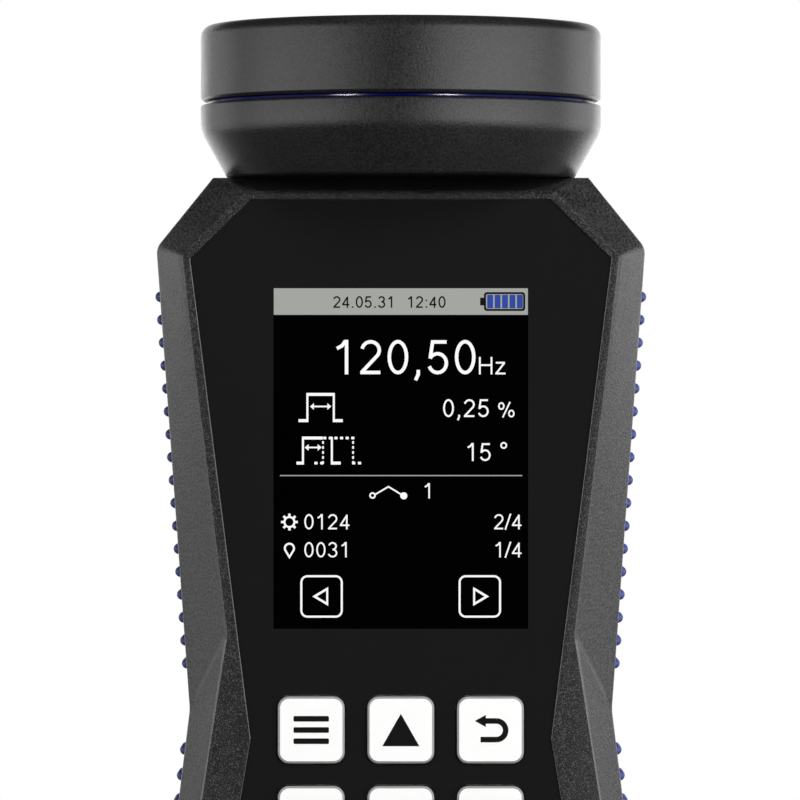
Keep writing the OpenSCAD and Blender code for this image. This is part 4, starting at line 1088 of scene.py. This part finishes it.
def stageFloor():
    # Pale and matt under the object, fading to the white backdrop; only the camera and glass see it
    s = studio
    pick()
    bpy.ops.mesh.primitive_circle_add(
        vertices=s["floorSides"], radius=s["floorR"], fill_type="NGON", location=(0, 0, s["floorZ"]))
    floor = bpy.context.object
    floor.name = "stageFloor"
    bpy.ops.object.transform_apply(location=True)
    material, add, shader, place = newMaterial("paleStageFloor")
    cloud = add("ShaderNodeTexNoise", {"Vector": place, "Scale": 1 / s["floorCloud"]})[0]
    colour = add("ShaderNodeMix", {
        0: cloud, 6: linear(s["floorDark"]), 7: linear(s["floorLight"])}, data_type="RGBA")[2]
    feed(shader, {"Base Color": colour, "Roughness": s["floorRough"],
                  "Specular IOR Level": s["floorSpecular"]})
    far = add("ShaderNodeVectorMath", {0: place}, operation="LENGTH")["Value"]
    near, end = s["floorFade"]
    fade = add("ShaderNodeMapRange", {
        "Value": far, "From Min": near, "From Max": end, "To Min": s["floorGlow"]},
        interpolation_type="SMOOTHSTEP")[0]
    path = add("ShaderNodeLightPath", {})
    seen = add("ShaderNodeMath", {
        0: path["Is Camera Ray"], 1: path["Is Transmission Ray"]}, operation="MAXIMUM")[0]
    share = add("ShaderNodeMath", {0: fade, 1: seen}, operation="MULTIPLY")[0]
    white = add("ShaderNodeEmission", {"Color": (1, 1, 1, 1), "Strength": 1.0})[0]
    both = add("ShaderNodeMixShader", {0: share, 1: shader.outputs[0], 2: white})[0]
    feed(material.node_tree.nodes["Material Output"], {"Surface": both})
    floor.data.materials.append(material)
    floor.visible_diffuse = False
    floor.visible_glossy = False


def stageWorld():
    # Two tall soft boxes with the camera's gap between them; camera, glass and gloss see the white backdrop
    world = bpy.data.worlds.new("studio")
    bpy.context.scene.world = world
    world.use_nodes = True
    world.node_tree.nodes.clear()
    add = partial(addNode, world.node_tree)
    direction = add("ShaderNodeTexCoord", {})["Generated"]
    parts = add("ShaderNodeSeparateXYZ", {0: direction})
    ahead = add("ShaderNodeMath", {0: parts["Y"], 1: -1.0}, operation="MULTIPLY")[0]
    turn = add("ShaderNodeMath", {0: parts["X"], 1: ahead}, operation="ARCTAN2")[0]
    around = add("ShaderNodeMapRange", {"Value": turn, "From Min": -math.pi, "From Max": math.pi})[0]
    rise = add("ShaderNodeMapRange", {"Value": parts["Z"], "From Min": -1.0})[0]
    level = studio["peak"]
    roundStops = [((degrees + 180) / 360, value / studio["peak"]) for degrees, value in studio["round"]]
    heightStops = [((math.sin(math.radians(degrees)) + 1) / 2, value) for degrees, value in studio["height"]]
    for factor, stops in ((around, roundStops), (rise, heightStops)):
        shade = add("ShaderNodeValToRGB", {"Fac": factor})["Color"]
        ramp = shade.node.color_ramp.elements
        while len(ramp) < len(stops):
            ramp.new(0.5)
        for element, (place, value) in zip(ramp, stops):
            element.position = place
            element.color = (value, value, value, 1)
        level = add("ShaderNodeMath", {0: level, 1: shade}, operation="MULTIPLY")[0]
    path = add("ShaderNodeLightPath", {})
    behind = add("ShaderNodeMath", {0: parts["Y"], 1: studio["backdrop"]}, operation="GREATER_THAN")[0]
    gloss = add("ShaderNodeMath", {0: behind, 1: path["Is Glossy Ray"]}, operation="MULTIPLY")[0]
    level = add("ShaderNodeMath", {0: level, 1: gloss}, operation="MAXIMUM")[0]
    seen = add("ShaderNodeMath", {
        0: path["Is Camera Ray"], 1: path["Is Transmission Ray"]}, operation="MAXIMUM")[0]
    light, white = [add("ShaderNodeBackground", {"Color": (1, 1, 1, 1), "Strength": strength})[0]
                    for strength in (level, 1.0)]
    both = add("ShaderNodeMixShader", {0: seen, 1: light, 2: white})[0]
    add("ShaderNodeOutputWorld", {"Surface": both})


def softbox(name, spec, dx=0.0):
    x, y, z = spec["place"]
    bpy.ops.object.light_add(type="AREA", location=(x + dx, y, z))
    lamp = bpy.context.object
    lamp.name = name
    lamp.data.shape = "RECTANGLE"
    lamp.data.size, lamp.data.size_y = spec["size"]
    lamp.data.energy = spec["power"]
    gap = [a - b for a, b in zip(spec["aim"], lamp.location)]
    tilt = math.atan2(gap[2], math.hypot(gap[0], gap[1]))
    lamp.rotation_euler = (math.pi / 2 + tilt, 0, math.atan2(-gap[0], gap[1]))
    return lamp


def stageLamps():
    # Soft lights from above and from both sides of the head, and two that glint on the accent ring alone
    softbox("topLight", studio["topLight"]).visible_glossy = False
    for name in ("leftLight", "rightLight"):
        softbox(name, studio[name]).visible_camera = False
    ringOnly = bpy.data.collections.new("glintsOnAccentRing")
    ringOnly.objects.link(accentRing)
    for dx in studio["glintX"]:
        glint = softbox("glint", studio["glint"], dx)
        glint.visible_diffuse = False
        glint.light_linking.receiver_collection = ringOnly


def stageCamera():
    # Level in front of the lamp head's axis
    bpy.ops.object.camera_add(location=studio["camera"], rotation=(math.pi / 2, 0, 0))
    camera = bpy.context.object
    camera.data.sensor_width = studio["sensor"]
    camera.data.lens = studio["lens"]
    camera.data.clip_start, camera.data.clip_end = studio["clip"]
    bpy.context.scene.camera = camera


stageFloor()
stageWorld()
stageLamps()
stageCamera()
bpy.context.scene.view_settings.view_transform = "Standard"
print("stage: set")
